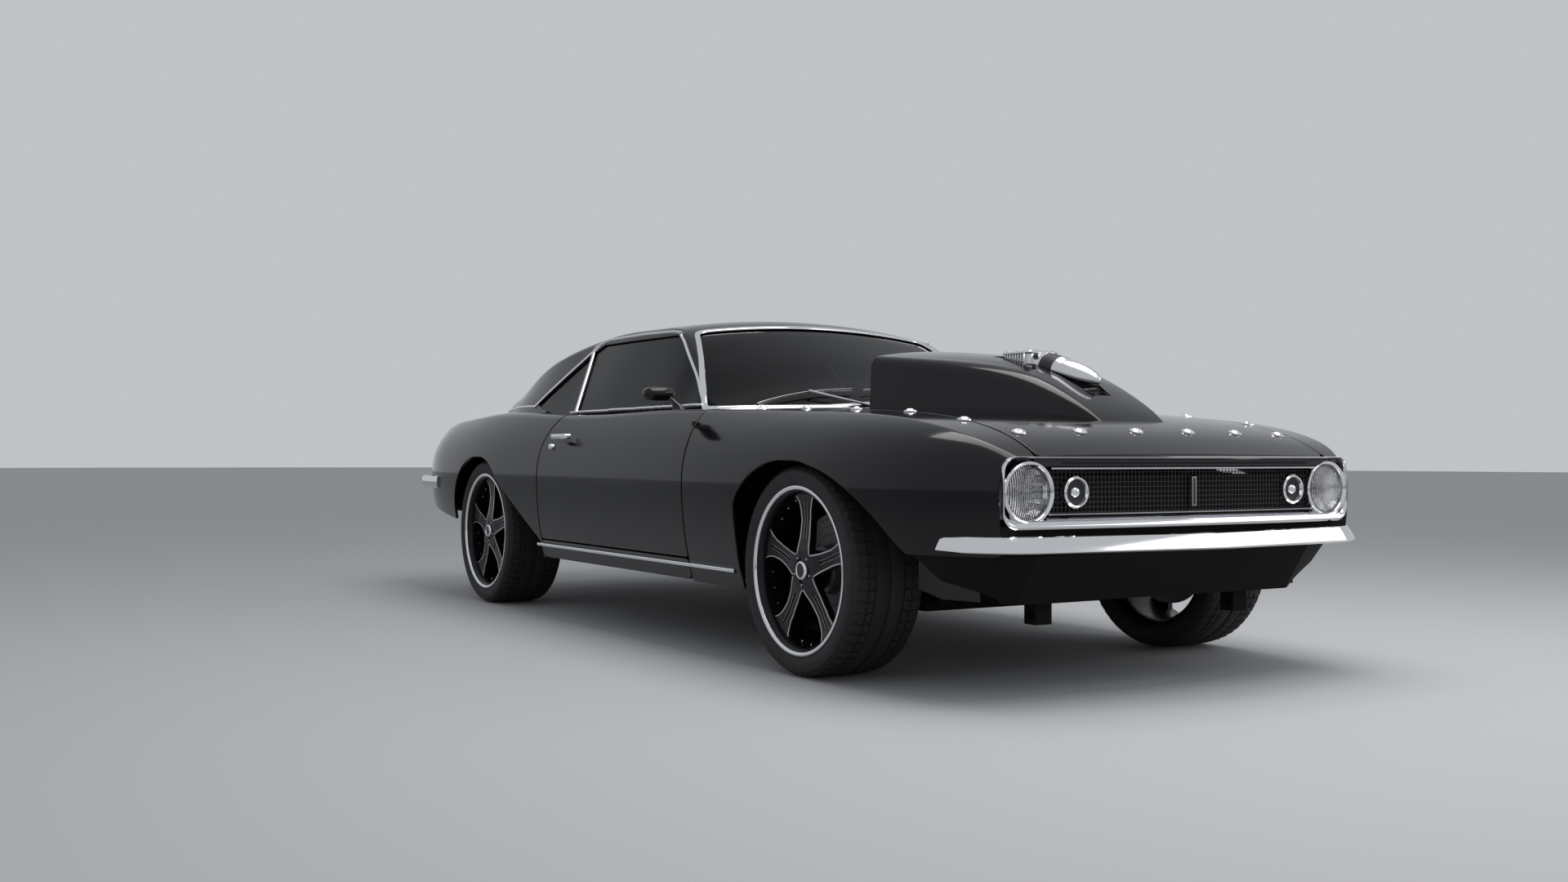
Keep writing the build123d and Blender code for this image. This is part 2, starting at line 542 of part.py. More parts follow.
SPINDLE_END = 836
knuckle_right = rod_z(FRONT_AXLE_X, -KINGPIN_Y, ARM_LOW_Z + ARM_T + GAP, ARM_HIGH_Z - GAP, 30)
knuckle_right += rod_z(FRONT_AXLE_X, -KINGPIN_Y, ARM_LOW_Z, ARM_HIGH_Z + ARM_T, 10)
knuckle_right += rod_y(FRONT_AXLE_X, -SPINDLE_END, -KINGPIN_Y, TYRE_R, SPINDLE_R)
knuckle_right += caliper(FRONT_AXLE_X, -KINGPIN_Y + 8)

# Wheels: rim with spokes, tyre and rotor
HUB_BACK_Y = 790
HUB_FACE_Y = 852


def spun(points, x):
    """Ring turned about a wheel's axle from points of radius and Y."""
    face = make_face(Polyline(*[(r, y, 0) for r, y in points], close=True))
    return Pos(x, 0, TYRE_R) * revolve(face, Axis.Y)


tyre_ring = [(BEAD_R, -18), (298, 0), (TYRE_R, -24)]
tyre_points = [(r, -TYRE_FACE_Y - y) for r, y in tyre_ring]
tyre_points += [(r, -TYRE_FACE_Y + TYRE_W + y) for r, y in tyre_ring[::-1]]
BEAD_GAP = 0.4
LIP_IN = 5
rim_points = [
    (BEAD_R - BEAD_GAP, -TYRE_FACE_Y + 17), (RIM_LIP_R, -TYRE_FACE_Y + 11.5),
    (RIM_LIP_R, -TYRE_FACE_Y + LIP_IN), (RIM_IN_R + 10, -TYRE_FACE_Y + LIP_IN + 2),
    (RIM_IN_R, -TYRE_FACE_Y + 30),
    (RIM_IN_R, -TYRE_FACE_Y + TYRE_W - 22), (BEAD_R - BEAD_GAP, -TYRE_FACE_Y + TYRE_W - 22),
]
wheel_hub = [(SPINDLE_R + PIN_PLAY, -HUB_BACK_Y), (HUB_R, -HUB_BACK_Y), (HUB_R, -HUB_FACE_Y)]
wheel_hub += [(0, -HUB_FACE_Y), (0, -SPINDLE_END - 4), (SPINDLE_R + PIN_PLAY, -SPINDLE_END - 4)]
SPOKE_FACE_Y = HUB_FACE_Y + 4
SPOKE_T = 34
SLOT_HALF = 6
SLOT_DEEP = 9


def spoke():
    """One upright spoke about the axle: waisted, flared at the rim, with a slot along its face."""
    root, rim = (38, 44), (58, 246)
    edges = [
        Edge.make_line((-root[0], 0, root[1]), (root[0], 0, root[1])),
        Edge.make_three_point_arc((root[0], 0, root[1]), (27, 0, 140), (34, 0, 205)),
        Edge.make_three_point_arc((34, 0, 205), (43, 0, 229), (rim[0], 0, rim[1])),
        Edge.make_line((rim[0], 0, rim[1]), (-rim[0], 0, rim[1])),
        Edge.make_three_point_arc((-rim[0], 0, rim[1]), (-43, 0, 229), (-34, 0, 205)),
        Edge.make_three_point_arc((-34, 0, 205), (-27, 0, 140), (-root[0], 0, root[1])),
    ]
    bar = Pos(0, -SPOKE_FACE_Y, 0) * extrude(make_face(edges), amount=SPOKE_T, dir=(0, 1, 0))
    bar = bar - rod_y(0, -900, -800, 0, HUB_R - 4)
    bar = bar & rod_y(0, -900, -800, 0, RIM_IN_R + 4)
    return bar - block(-SLOT_HALF, SLOT_HALF, -SPOKE_FACE_Y, -SPOKE_FACE_Y + SLOT_DEEP, 105, 212)


def wheel(x):
    """Five-spoke wheel on the right side of the car."""
    disc = spun(rim_points, x) + spun(wheel_hub, x)
    for n in range(SPOKES):
        disc += Pos(x, 0, TYRE_R) * Rot(0, 360 / SPOKES * n, 0) * spoke()
    return disc


rotor_points = [
    (SPINDLE_R + PIN_PLAY, -HUB_BACK_Y + SEAM), (80, -HUB_BACK_Y + SEAM), (80, -ROTOR_Y - ROTOR_T / 2),
    (ROTOR_R, -ROTOR_Y - ROTOR_T / 2), (ROTOR_R, -ROTOR_Y + ROTOR_T / 2), (60, -ROTOR_Y + ROTOR_T / 2),
    (60, -HUB_BACK_Y + 20), (SPINDLE_R + PIN_PLAY, -HUB_BACK_Y + 20),
]
tyre_front_right = spun(tyre_points, FRONT_AXLE_X)
tyre_rear_right = spun(tyre_points, REAR_AXLE_X)
wheel_front_right = Compound(children=[wheel(FRONT_AXLE_X), spun(rotor_points, FRONT_AXLE_X)])
wheel_rear_right = Compound(children=[wheel(REAR_AXLE_X), spun(rotor_points, REAR_AXLE_X)])

# Rear axle on leaf springs
SPRING_Y = 520
axle_half = rod_y(REAR_AXLE_X, -KINGPIN_Y, 0, TYRE_R, 42)
axle_half += rod_y(REAR_AXLE_X, -SPINDLE_END, -KINGPIN_Y, TYRE_R, SPINDLE_R)
axle_half += caliper(REAR_AXLE_X, -KINGPIN_Y + 8)
spring_edges = [
    Edge.make_three_point_arc((-815, 0, 300), (REAR_AXLE_X, 0, 262), (-1950, 0, 350)),
    Edge.make_line((-1950, 0, 350), (-1950, 0, 374)),
    Edge.make_three_point_arc((-1950, 0, 374), (REAR_AXLE_X, 0, 286), (-815, 0, 316)),
    Edge.make_line((-815, 0, 316), (-815, 0, 300)),
]
spring = extrude(make_face(spring_edges), amount=60, dir=(0, 1, 0))
axle_half += Pos(0, -SPRING_Y - 30, 0) * spring
axle_half += block(REAR_AXLE_X - 50, REAR_AXLE_X + 50, -SPRING_Y - 36, -SPRING_Y + 36, 270, TYRE_R)
spring_shoe = [(-812, 300), (-812, 316), (-842, 355.5), (-842, 300)]
axle_half += side_plate(spring_shoe, -SPRING_Y - 30, -SPRING_Y + 30)
axle_half += block(-1950, -1925, -SPRING_Y - 30, -SPRING_Y + 30, 350, TRUNK_Z - SEAM)
rear_axle = axle_half + flipped(axle_half) + Pos(REAR_AXLE_X, 0, TYRE_R) * Sphere(128)

# Engine, injector and driveline
ENGINE_TOP = 700
engine_block = block(960, 1660, -280, 280, 234 + SEAM, ENGINE_TOP)
driveline = rod_x(560, 960 - SEAM, 0, TYRE_R, 100) + rod_x(300, 560, 0, TYRE_R, 70)
driveline += rod_x(REAR_AXLE_X + 128 + SEAM, 300, 0, TYRE_R, 36)
injector = block(1424, 1545, -58, 58, ENGINE_TOP + SEAM, 985) + block(1405, 1556, -66, 66, 985, 1042)
elbow = Solid.make_cone(46, 34, 290, Plane((1556, 0, 1000), x_dir=(0, 1, 0), z_dir=(0.97, 0, -0.24)))
injector += elbow

# Exhaust and fuel tank
exhaust = []
for side in (-1, 1):
    pipe = rod_x(-760, 1000, side * 311, 222, 30) + rod_z(1000, side * (280.4 + 30), 222, 420, 30)
    pipe += block(-480, 20, side * 300 - 75, side * 300 + 75, 192, FLOOR_Z - SEAM)
    exhaust.append(pipe)
fuel_tank = block(-2170, -1830, -420, 420, 296, TRUNK_Z - SEAM)

# Cabin fittings
SEAT_Z = FLOOR_Z + FLOOR_T + SEAM
seat_side = [(290, SEAT_Z), (300, 440), (-110, 405), (-290, 940), (-390, 940), (-250, SEAT_Z)]
front_seats = [side_plate(seat_side, -630, -160), side_plate(seat_side, 160, 630)]
bench_side = [(-560, SEAT_Z), (-540, 470), (-880, 440), (-1000, 820), (-1040, 820), (-1040, 521)]
bench_side += [(-954, 521), (-772, SEAT_Z)]
rear_seat = side_plate(bench_side, -560, 560) - block(-1000, -500, -152, 152, 200, TUNNEL_TOP + SEAM)
dash_side = [(690, 620), (690, 812), (560, 818), (480, 790), (470, 700), (520, 620)]
dashboard = side_plate(dash_side, -PILLAR_Y + 40 + SEAM, PILLAR_Y - 40 - SEAM)
dashboard = dashboard & body_in.moved(Location((0, 0, -PIN_PLAY)))
STEER_Y = 390
steer_plane = Plane((330, STEER_Y, 790), x_dir=(0, 1, 0), z_dir=(-0.9, 0, 0.436))
column = steer_plane * Pos(0, 0, -120) * Cylinder(24, 200)
column += steer_plane * Pos(0, 0, -10) * Cylinder(10, 30)
dashboard = dashboard + column
steering_wheel = steer_plane * (Torus(180, 14) + Cylinder(32, 30))
for n in range(3):
    steering_wheel += steer_plane * Rot(0, 0, 90 + 120 * n) * Pos(100, 0, 0) * Box(150, 26, 8)
steering_wheel = steering_wheel - steer_plane * Pos(0, 0, -10) * Cylinder(10 + PIN_PLAY, 31)

# Outside fittings
mirror_foot = [(610, 840), (610, 862), (560, 900), (540, 900)]
mirror_right = block(520, 586, -985, -868, 884, 934) + side_plate(mirror_foot, -880, -775)
mirror_right = mirror_right - body_out
handle_right = block(-440, -310, -935, -820, 752, 774) - body_out
rocker_right = block(-640, 1060, -901, -840, 300, 316) - body_out

pairs = {
    "fender": fender_right,
    "quarter": quarter_right,
    "door": door_right,
    "door_glass": door_glass_right,
    "mirror": mirror_right,
    "handle": handle_right,
    "knuckle": knuckle_right,
    "tyre_front": tyre_front_right,
    "tyre_rear": tyre_rear_right,
    "wheel_front": wheel_front_right,
    "wheel_rear": wheel_rear_right,
}
both_sides = {
    "sills": sill_right,
    "rocker_mouldings": rocker_right,
    "hinge_pillars": pillar_right,
    "inner_fenders": inner_fenders,
    "quarter_glass": quarter_glass_right,
}
parts = {
    "hood": hood,
    "cowl_panel": cowl_panel,
    "upper_deck": upper_deck,
    "tail_panel": tail_panel,
    "deck_lid": deck_lid,
    "lid_hinges": Compound(children=lid_hinges),
    "roof_shell": roof_shell,
    "windshield": windshield,
    "rear_window": rear_glass,
    "grille_surround": grille_surround,
    "grille": grille,
    "headlamps": Compound(children=headlamps),
    "parking_lamps": Compound(children=parking_lamps),
    "tail_lamps": Compound(children=tail_lamps),
    "nose_panel": nose_panel,
    "radiator": radiator,
    "front_bumper": front_bumper,
    "rear_bumper": rear_bumper,
    "front_valance": front_valance,
    "floor_pan": floor_pan,
    "subframe": subframe,
    "rear_axle": rear_axle,
    "engine_block": engine_block,
    "driveline": driveline,
    "injector": injector,
    "exhaust": Compound(children=exhaust),
    "fuel_tank": fuel_tank,
    "front_seats": Compound(children=front_seats),
    "rear_seat": rear_seat,
    "dashboard": dashboard,
    "steering_wheel": steering_wheel,
}
for name, shape in pairs.items():
    parts[f"{name}_right"] = shape
    parts[f"{name}_left"] = flipped(shape)
for name, shape in both_sides.items():
    parts[name] = Compound(children=[shape, flipped(shape)])

os.makedirs("parts", exist_ok=True)
for name, shape in parts.items():
    export_step(shape, f"parts/{name}.step")
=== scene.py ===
from math import atan2, cos, hypot, pi, radians, sin

import bmesh
import bpy
import numpy as np
from mathutils import Matrix, Vector


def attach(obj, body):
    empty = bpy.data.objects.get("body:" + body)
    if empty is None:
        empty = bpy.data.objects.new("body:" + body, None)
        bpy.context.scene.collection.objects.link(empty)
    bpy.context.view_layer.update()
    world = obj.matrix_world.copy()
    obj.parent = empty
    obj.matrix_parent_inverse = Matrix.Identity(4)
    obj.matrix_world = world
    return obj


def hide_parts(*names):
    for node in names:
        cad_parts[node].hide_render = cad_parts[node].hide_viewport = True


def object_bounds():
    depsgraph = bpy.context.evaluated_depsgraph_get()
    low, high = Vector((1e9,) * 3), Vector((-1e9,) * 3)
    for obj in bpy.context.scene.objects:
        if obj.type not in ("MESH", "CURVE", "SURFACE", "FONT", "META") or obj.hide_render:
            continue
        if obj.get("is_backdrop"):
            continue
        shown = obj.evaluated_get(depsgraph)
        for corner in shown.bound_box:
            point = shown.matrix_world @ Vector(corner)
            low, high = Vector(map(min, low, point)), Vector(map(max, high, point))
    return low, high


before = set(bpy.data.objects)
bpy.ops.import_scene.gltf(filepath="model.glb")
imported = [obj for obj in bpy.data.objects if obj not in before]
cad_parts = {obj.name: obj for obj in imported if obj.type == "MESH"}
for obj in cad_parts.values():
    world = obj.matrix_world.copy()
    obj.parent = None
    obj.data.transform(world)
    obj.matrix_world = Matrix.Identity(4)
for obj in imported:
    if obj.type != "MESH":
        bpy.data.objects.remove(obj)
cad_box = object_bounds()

# Studio: a matt pale floor under a soft, even sky, with a wide panel hung over the nose and a second one
# standing at the left front, and a camera low at the right front of the car.
scene = bpy.context.scene
scene.view_settings.view_transform = "Standard"
FLOOR_COLOUR = (0.43, 0.435, 0.44, 1)
SKY_COLOUR = (0.66, 0.68, 0.71, 1)
SKY_SEEN, SKY_FILL = 0.80, 0.75
FLOOR_R = 60


def feed(tree, target, value):
    """Links a socket to a node's input, or sets the input's own value."""
    value = getattr(value, "socket", value)
    if isinstance(value, bpy.types.NodeSocket):
        tree.links.new(value, target)
    else:
        target.default_value = value


def add_node(tree, kind, settings=None, **inputs):
    """A new node with its settings and inputs; i0, i1 and so on name an input by its place."""
    node = tree.nodes.new(kind)
    for key, value in (settings or {}).items():
        setattr(node, key, value)
    for key, value in inputs.items():
        by_place = key[0] == "i" and key[1:].isdigit()
        feed(tree, node.inputs[int(key[1:]) if by_place else key.replace("_", " ")], value)
    return node


class Wire:
    """A shader socket that takes part in sums: each operator adds a Math node."""

    def __init__(self, tree, socket):
        self.tree = tree
        self.socket = socket

    def node(self, kind, settings=None, **inputs):
        """The first output of a new shader node in the same tree."""
        return Wire(self.tree, add_node(self.tree, "ShaderNode" + kind, settings, **inputs).outputs[0])

    def __add__(self, other):
        return self.node("Math", {"operation": "ADD"}, i0=self, i1=other)

    __radd__ = __add__

    def __mul__(self, other):
        return self.node("Math", {"operation": "MULTIPLY"}, i0=self, i1=other)

    __rmul__ = __mul__

    def noise(self, scale, detail=2.0):
        """Fine random pattern on these coordinates, about 0 to 1."""
        return self.node("TexNoise", Vector=self, Scale=scale, Detail=detail)

    def bump(self, strength, distance):
        """Surface normal raised by this height."""
        return self.node("Bump", Strength=strength, Distance=distance, Height=self)


def finish_named(name, **sockets):
    """A new material, its Object coordinates and a function that plugs values into its shader."""
    material = bpy.data.materials.new(name)
    material.use_nodes = True
    tree = material.node_tree
    shader = tree.nodes["Principled BSDF"]
    place = Wire(tree, tree.nodes.new("ShaderNodeTexCoord").outputs["Object"])

    def plug(**values):
        for key, value in values.items():
            feed(tree, shader.inputs[key.replace("_", " ")], value)

    plug(**sockets)
    return material, place, plug


def put(name, data):
    """A new object in the scene."""
    item = bpy.data.objects.new(name, data)
    scene.collection.objects.link(item)
    return item


floor_mesh = bpy.data.meshes.new("studio_floor")
floor_form = bmesh.new()
bmesh.ops.create_circle(floor_form, cap_ends=True, radius=FLOOR_R, segments=96)
floor_form.to_mesh(floor_mesh)
floor_form.free()
studio_floor = put("studio_floor", floor_mesh)
floor_finish = finish_named("studio_floor_finish", Roughness=0.85, Base_Color=FLOOR_COLOUR)[0]
floor_mesh.materials.append(floor_finish)
studio_floor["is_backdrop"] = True
world = bpy.data.worlds.new("studio_sky")
scene.world = world
world.use_nodes = True
sky_tree = world.node_tree
sky = sky_tree.nodes["Background"]
sky.inputs["Color"].default_value = SKY_COLOUR
rays = sky_tree.nodes.new("ShaderNodeLightPath").outputs
seen = Wire(sky_tree, rays["Is Camera Ray"]) + Wire(sky_tree, rays["Is Glossy Ray"])
seen = seen + Wire(sky_tree, rays["Is Transmission Ray"])
feed(sky_tree, sky.inputs["Strength"], SKY_FILL + (SKY_SEEN - SKY_FILL) * seen)
for name, spot, aim, span, power in (
    ("overhead_panel", (2.2, 0.2, 4.6), (2.2, 0.2, 0.0), (5.0, 3.0), 185),
    ("front_panel", (4.8, 4.8, 3.4), (2.3, 0.0, 0.5), (4.6, 3.0), 52),
):
    lamp = bpy.data.lights.new(name, "AREA")
    lamp.shape = "RECTANGLE"
    lamp.size, lamp.size_y = span
    lamp.energy = power
    panel = put(name, lamp)
    panel.location = spot
    panel.rotation_euler = (Vector(aim) - Vector(spot)).to_track_quat("-Z", "Y").to_euler()

CAMERA_PLACE = Vector((5.4716, -3.4016, 0.703))
SIGHT_SHIFT = (0.0030, -0.0018)
CAMERA_YAW, CAMERA_PITCH, CAMERA_ROLL = radians(148.766), radians(0.507), radians(0.163)
CAMERA_LENS, SENSOR_WIDTH, CAMERA_REACH = 35.15, 36, 200
level = cos(CAMERA_PITCH)
look = Vector((cos(CAMERA_YAW) * level, sin(CAMERA_YAW) * level, sin(CAMERA_PITCH)))
right = Vector((sin(CAMERA_YAW), -cos(CAMERA_YAW), 0))
up = right.cross(look)
camera_right = cos(CAMERA_ROLL) * right + sin(CAMERA_ROLL) * up
camera_up = cos(CAMERA_ROLL) * up - sin(CAMERA_ROLL) * right
lens = bpy.data.cameras.new("photo_camera")
lens.sensor_width = SENSOR_WIDTH
lens.lens = CAMERA_LENS
lens.clip_end = CAMERA_REACH
lens.shift_x, lens.shift_y = SIGHT_SHIFT
camera = put("photo_camera", lens)
camera.matrix_world = Matrix(
    [[camera_right[i], camera_up[i], -look[i], CAMERA_PLACE[i]] for i in range(3)] + [[0, 0, 0, 1]]
)
scene.camera = camera

# Lower body: pressed steel panels on one smooth hull, whose half-sections run from the nose to the tail,
# sprayed gloss black under a clear coat and polished, with the slight unevenness of lacquer.
def grained(name, colour, rough, swing, scale, detail=2.0, raised=None, **sockets):
    """A finish whose roughness wanders with a fine grain, which may also raise the surface."""
    material, place, plug = finish_named(name, Base_Color=(*colour, 1), **sockets)
    grain = place.noise(scale, detail)
    plug(Roughness=rough + swing * grain)
    if raised:
        plug(Normal=grain.bump(*raised))
    return material


coat = {"Coat_Weight": 0.22, "Coat_Roughness": 0.02, "Specular_IOR_Level": 0.24}
paint = grained("gloss_black_paint", (0.004, 0.004, 0.005), 0.10, 0.06, 3.0, **coat)
# Columns: x, sill half-width, widest half-width, shoulder half-width and height, crown, shoulder radius.
HULL = np.array(
    [
        (2.245, 0.600, 0.686, 0.636, 0.672, 0.026, 0.014),
        (2.150, 0.690, 0.765, 0.690, 0.722, 0.026, 0.022),
        (2.050, 0.760, 0.822, 0.718, 0.757, 0.026, 0.030),
        (1.850, 0.820, 0.880, 0.735, 0.798, 0.024, 0.040),
        (1.415, 0.860, 0.915, 0.752, 0.830, 0.022, 0.050),
        (0.900, 0.868, 0.918, 0.765, 0.848, 0.020, 0.055),
        (0.300, 0.868, 0.911, 0.785, 0.858, 0.016, 0.050),
        (-0.300, 0.868, 0.908, 0.795, 0.852, 0.016, 0.050),
        (-0.800, 0.866, 0.914, 0.790, 0.868, 0.020, 0.060),
        (-1.328, 0.862, 0.921, 0.770, 0.880, 0.024, 0.070),
        (-1.800, 0.830, 0.903, 0.750, 0.860, 0.022, 0.060),
        (-2.080, 0.785, 0.868, 0.725, 0.846, 0.020, 0.045),
        (-2.250, 0.745, 0.824, 0.695, 0.834, 0.016, 0.032),
    ]
)[::-1]
SILL_Z, WIDE_Z = 0.250, 0.595
NOSE_X, NOSE_BOW, NOSE_HALF = 2.245, 0.039, 0.72
TAIL_X = -2.25
HANDS = {"right": -1, "left": 1}
TINY = 1e-12


def unit(ways):
    """The same directions with a length of one."""
    return ways / (np.linalg.norm(ways, axis=-1, keepdims=True) + TINY)


def smooth_rows(table, x):
    """Natural cubic curve through every column of a table whose first column is x."""
    k, v = table[:, 0], table[:, 1:]
    h = np.diff(k)
    n = len(k)
    a = np.eye(n)
    b = np.zeros((n, v.shape[1]))
    for i in range(1, n - 1):
        a[i, i - 1 : i + 2] = h[i - 1], 2 * (h[i - 1] + h[i]), h[i]
        b[i] = 6 * ((v[i + 1] - v[i]) / h[i] - (v[i] - v[i - 1]) / h[i - 1])
    m = np.linalg.solve(a, b)
    i = np.clip(np.searchsorted(k, x) - 1, 0, n - 2)
    lo, hi = (k[i + 1] - x)[:, None], (x - k[i])[:, None]
    hh = h[i][:, None]
    return (
        m[i] * lo**3 / (6 * hh) + m[i + 1] * hi**3 / (6 * hh)
        + (v[i] / hh - m[i] * hh / 6) * lo + (v[i + 1] / hh - m[i + 1] * hh / 6) * hi
    )


def folded(x, s, middle):
    """Flat lists of both, with each side's sign and with s folded back at the centre line."""
    x, s = x.ravel(), s.ravel()
    return x, np.where(s > middle, 1, -1), np.where(s > middle, 2 * middle - s, s)


def crown_arc(top_y, top_z, crown, r):
    """A crowned top's radius and end angle, with the centre of the rounding that meets it there."""
    crown_r = (top_y**2 + crown**2) / (2 * crown)
    top_a = np.arccos(top_y / crown_r)
    return crown_r, top_a, top_y - r * np.cos(top_a), top_z - r * np.sin(top_a)


def hull_point(x, s):
    """Points of the hull: s runs 0 to 1 up the right tuck, to 2 up the side, to 3 over the shoulder, to 4
    along the top to the centre line, and on to 8 down the left side in the same way."""
    x, hand, s = folded(x, s, 4)
    sill, wide, top_y, top_z, crown, r = smooth_rows(HULL, x).T
    crown_r, top_a, cy, cz = crown_arc(top_y, top_z, crown, r)
    a, b = cy - wide, cz - WIDE_Z
    side_r = (r * r - a * a - b * b) / (2 * (a + r))
    side_a = np.arctan2(b, side_r + a)
    tuck = wide - sill
    low_r = (tuck**2 + (WIDE_Z - SILL_Z) ** 2) / (2 * tuck)
    low_a = np.arcsin((WIDE_Z - SILL_Z) / low_r)
    low = (1 - np.clip(s, 0, 1)) * low_a
    side = np.clip(s - 1, 0, 1) * side_a
    bend = side_a + np.clip(s - 2, 0, 1) * (top_a - side_a)
    over = top_a + np.clip(s - 3, 0, 1) * (pi / 2 - top_a)
    y = np.where(s < 1, wide - low_r * (1 - np.cos(low)), wide - side_r * (1 - np.cos(side)))
    z = np.where(s < 1, WIDE_Z - low_r * np.sin(low), WIDE_Z + side_r * np.sin(side))
    y = np.where(s > 2, cy + r * np.cos(bend), y)
    z = np.where(s > 2, cz + r * np.sin(bend), z)
    y = np.where(s > 3, crown_r * np.cos(over), y)
    z = np.where(s > 3, top_z + crown - crown_r * (1 - np.sin(over)), z)
    return np.stack([x, hand * y, z], 1)


def hull_top(x, y):
    """Height of the hull's crowned top."""
    x, y = np.broadcast_arrays(np.atleast_1d(np.asarray(x, float)), np.asarray(y, float))
    rows = smooth_rows(HULL, x.ravel())
    return (rows[:, 3] + rows[:, 4] * (1 - (y.ravel() / rows[:, 2]) ** 2)).reshape(x.shape)


def surface_grid(point, x_lines, s_lines):
    """Points and outward normals of a surface on a grid of lines."""
    x, s = np.meshgrid(x_lines, s_lines, indexing="ij")
    e = 1e-4
    at = point(x, s)
    along = point(x + e, s) - point(x - e, s)
    after, before = (np.clip(s + step, s_lines[0], s_lines[-1]) for step in (e, -e))
    normal = unit(np.cross(along, point(x, after) - point(x, before)))
    n, k = x.shape
    index = np.arange(n * k).reshape(n, k)
    quads = np.stack([index[:-1, :-1], index[1:, :-1], index[1:, 1:], index[:-1, 1:]], -1).reshape(-1, 4)
    return at, normal, quads


def trimmed(at, normal, quads, keep):
    """The part of a surface where keep is positive, cut cleanly along keep's zero line."""
    value = keep(at)
    points, normals = list(at), list(normal)
    cut = {}

    def crossing(i, j):
        key = (min(i, j), max(i, j))
        if key not in cut:
            t = value[i] / (value[i] - value[j])
            cut[key] = len(points)
            points.append(at[i] + t * (at[j] - at[i]))
            normals.append(unit(normal[i] + t * (normal[j] - normal[i])))
        return cut[key]

    inside = value[quads] > 0
    faces = [tuple(quad) for quad in quads[inside.all(1)]]
    for quad in quads[inside.any(1) & ~inside.all(1)]:
        loop = []
        for n, i in enumerate(quad):
            j = quad[(n + 1) % 4]
            if value[i] > 0:
                loop.append(i)
            if (value[i] > 0) != (value[j] > 0):
                loop.append(crossing(i, j))
        if len(loop) > 2:
            faces.append(tuple(loop))
    used = sorted({i for face in faces for i in face})
    renumber = {old: new for new, old in enumerate(used)}
    faces = [tuple(renumber[i] for i in face) for face in faces]
    return np.array([points[i] for i in used]), np.array([normals[i] for i in used]), faces


def rim_edges(faces):
    """Directed edges along a sheet's border."""
    edges = {(face[n], face[(n + 1) % len(face)]) for face in faces for n in range(len(face))}
    return [(i, j) for (i, j) in edges if (j, i) not in edges]


def pressed_panel(name, at, normal, faces, depth, edge=0.003, flip=False):
    """Closed panel from a surface: a rounded edge, a return flange of the wall's depth and an inner skin."""
    rim = rim_edges(faces)
    out = {}
    for i, j in rim:
        way = unit(np.cross(at[j] - at[i], (normal[i] + normal[j]) / 2))
        for k in (i, j):
            out[k] = out.get(k, 0) + way
    count = len(at)
    points, normals = [at], [normal]
    ring = sorted(out)
    tangent = unit(np.array([out[k] for k in ring]))
    base, flat = at[ring], normal[ring]
    places = {k: n for n, k in enumerate(ring)}
    turns = []
    for turn in (pi / 4, pi / 2):
        turns.append(count + sum(len(p) for p in points[1:]))
        points.append(base + tangent * edge * sin(turn) - flat * edge * (1 - cos(turn)))
        normals.append(flat * cos(turn) + tangent * sin(turn))
    foot = count + sum(len(p) for p in points[1:])
    points.append(base + tangent * edge - flat * depth)
    normals.append(tangent)
    inner = foot + len(ring)
    points.append(at - normal * depth)
    normals.append(-normal)
    all_faces = list(faces)
    for i, j in rim:
        a, b = places[i], places[j]
        chain_a = [i] + [t + a for t in turns] + [foot + a]
        chain_b = [j] + [t + b for t in turns] + [foot + b]
        for n in range(len(chain_a) - 1):
            all_faces.append((chain_a[n], chain_a[n + 1], chain_b[n + 1], chain_b[n]))
        all_faces.append((foot + a, inner + i, inner + j, foot + b))
    all_faces += [tuple(inner + i for i in face[::-1]) for face in faces]
    points, normals = np.concatenate(points), np.concatenate(normals)
    if flip:
        points, normals = points * (1, -1, 1), normals * (1, -1, 1)
        all_faces = [face[::-1] for face in all_faces]
    mesh = bpy.data.meshes.new(name)
    mesh.from_pydata(points.tolist(), [], all_faces)
    mesh.polygons.foreach_set("use_smooth", [True] * len(mesh.polygons))
    mesh.validate(clean_customdata=False)
    mesh.normals_split_custom_set_from_vertices(normals.tolist())
    return put(name, mesh)


def panel_from(name, surface, keep, depth=0.012, edge=0.003, flip=False):
    """Pressed panel on a surface, its rounded edge ending on keep's zero line."""
    return pressed_panel(name, *trimmed(*surface, lambda p: keep(p) - edge), depth, edge, flip)


def dressed(piece, material, body, slot=None, *nodes):
    """Gives a piece its finish, the body it moves with and the solids that it stands for."""
    piece.data.materials.clear()
    piece.data.materials.append(material)
    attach(piece, body)
    if nodes:
        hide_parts(*nodes)


def when(last, node):
    """The solid that several pieces stand for, named on the last of them only."""
    return (node,) if last else ()


def less(*limits):
    """Keeps what every limit keeps."""
    return lambda p: np.min([limit(p) for limit in limits], axis=0)


def bow(start, mid, end, count=14):
    """Points along the arc through three points."""
    (ax, ay), (bx, by), (cx, cy) = start, mid, end
    d = 2 * (ax * (by - cy) + bx * (cy - ay) + cx * (ay - by))
    aa, bb, cc = ax**2 + ay**2, bx**2 + by**2, cx**2 + cy**2
    ux = (aa * (by - cy) + bb * (cy - ay) + cc * (ay - by)) / d
    uy = (aa * (cx - bx) + bb * (ax - cx) + cc * (bx - ax)) / d
    r = hypot(ax - ux, ay - uy)
    t0, t1, t2 = (atan2(y - uy, x - ux) for x, y in (start, mid, end))
    sweep = (t2 - t0) % (2 * pi)
    if (t1 - t0) % (2 * pi) > sweep:
        sweep -= 2 * pi
    turns = [t0 + sweep * i / count for i in range(count + 1)]
    return [(ux + r * cos(t), uy + r * sin(t)) for t in turns]


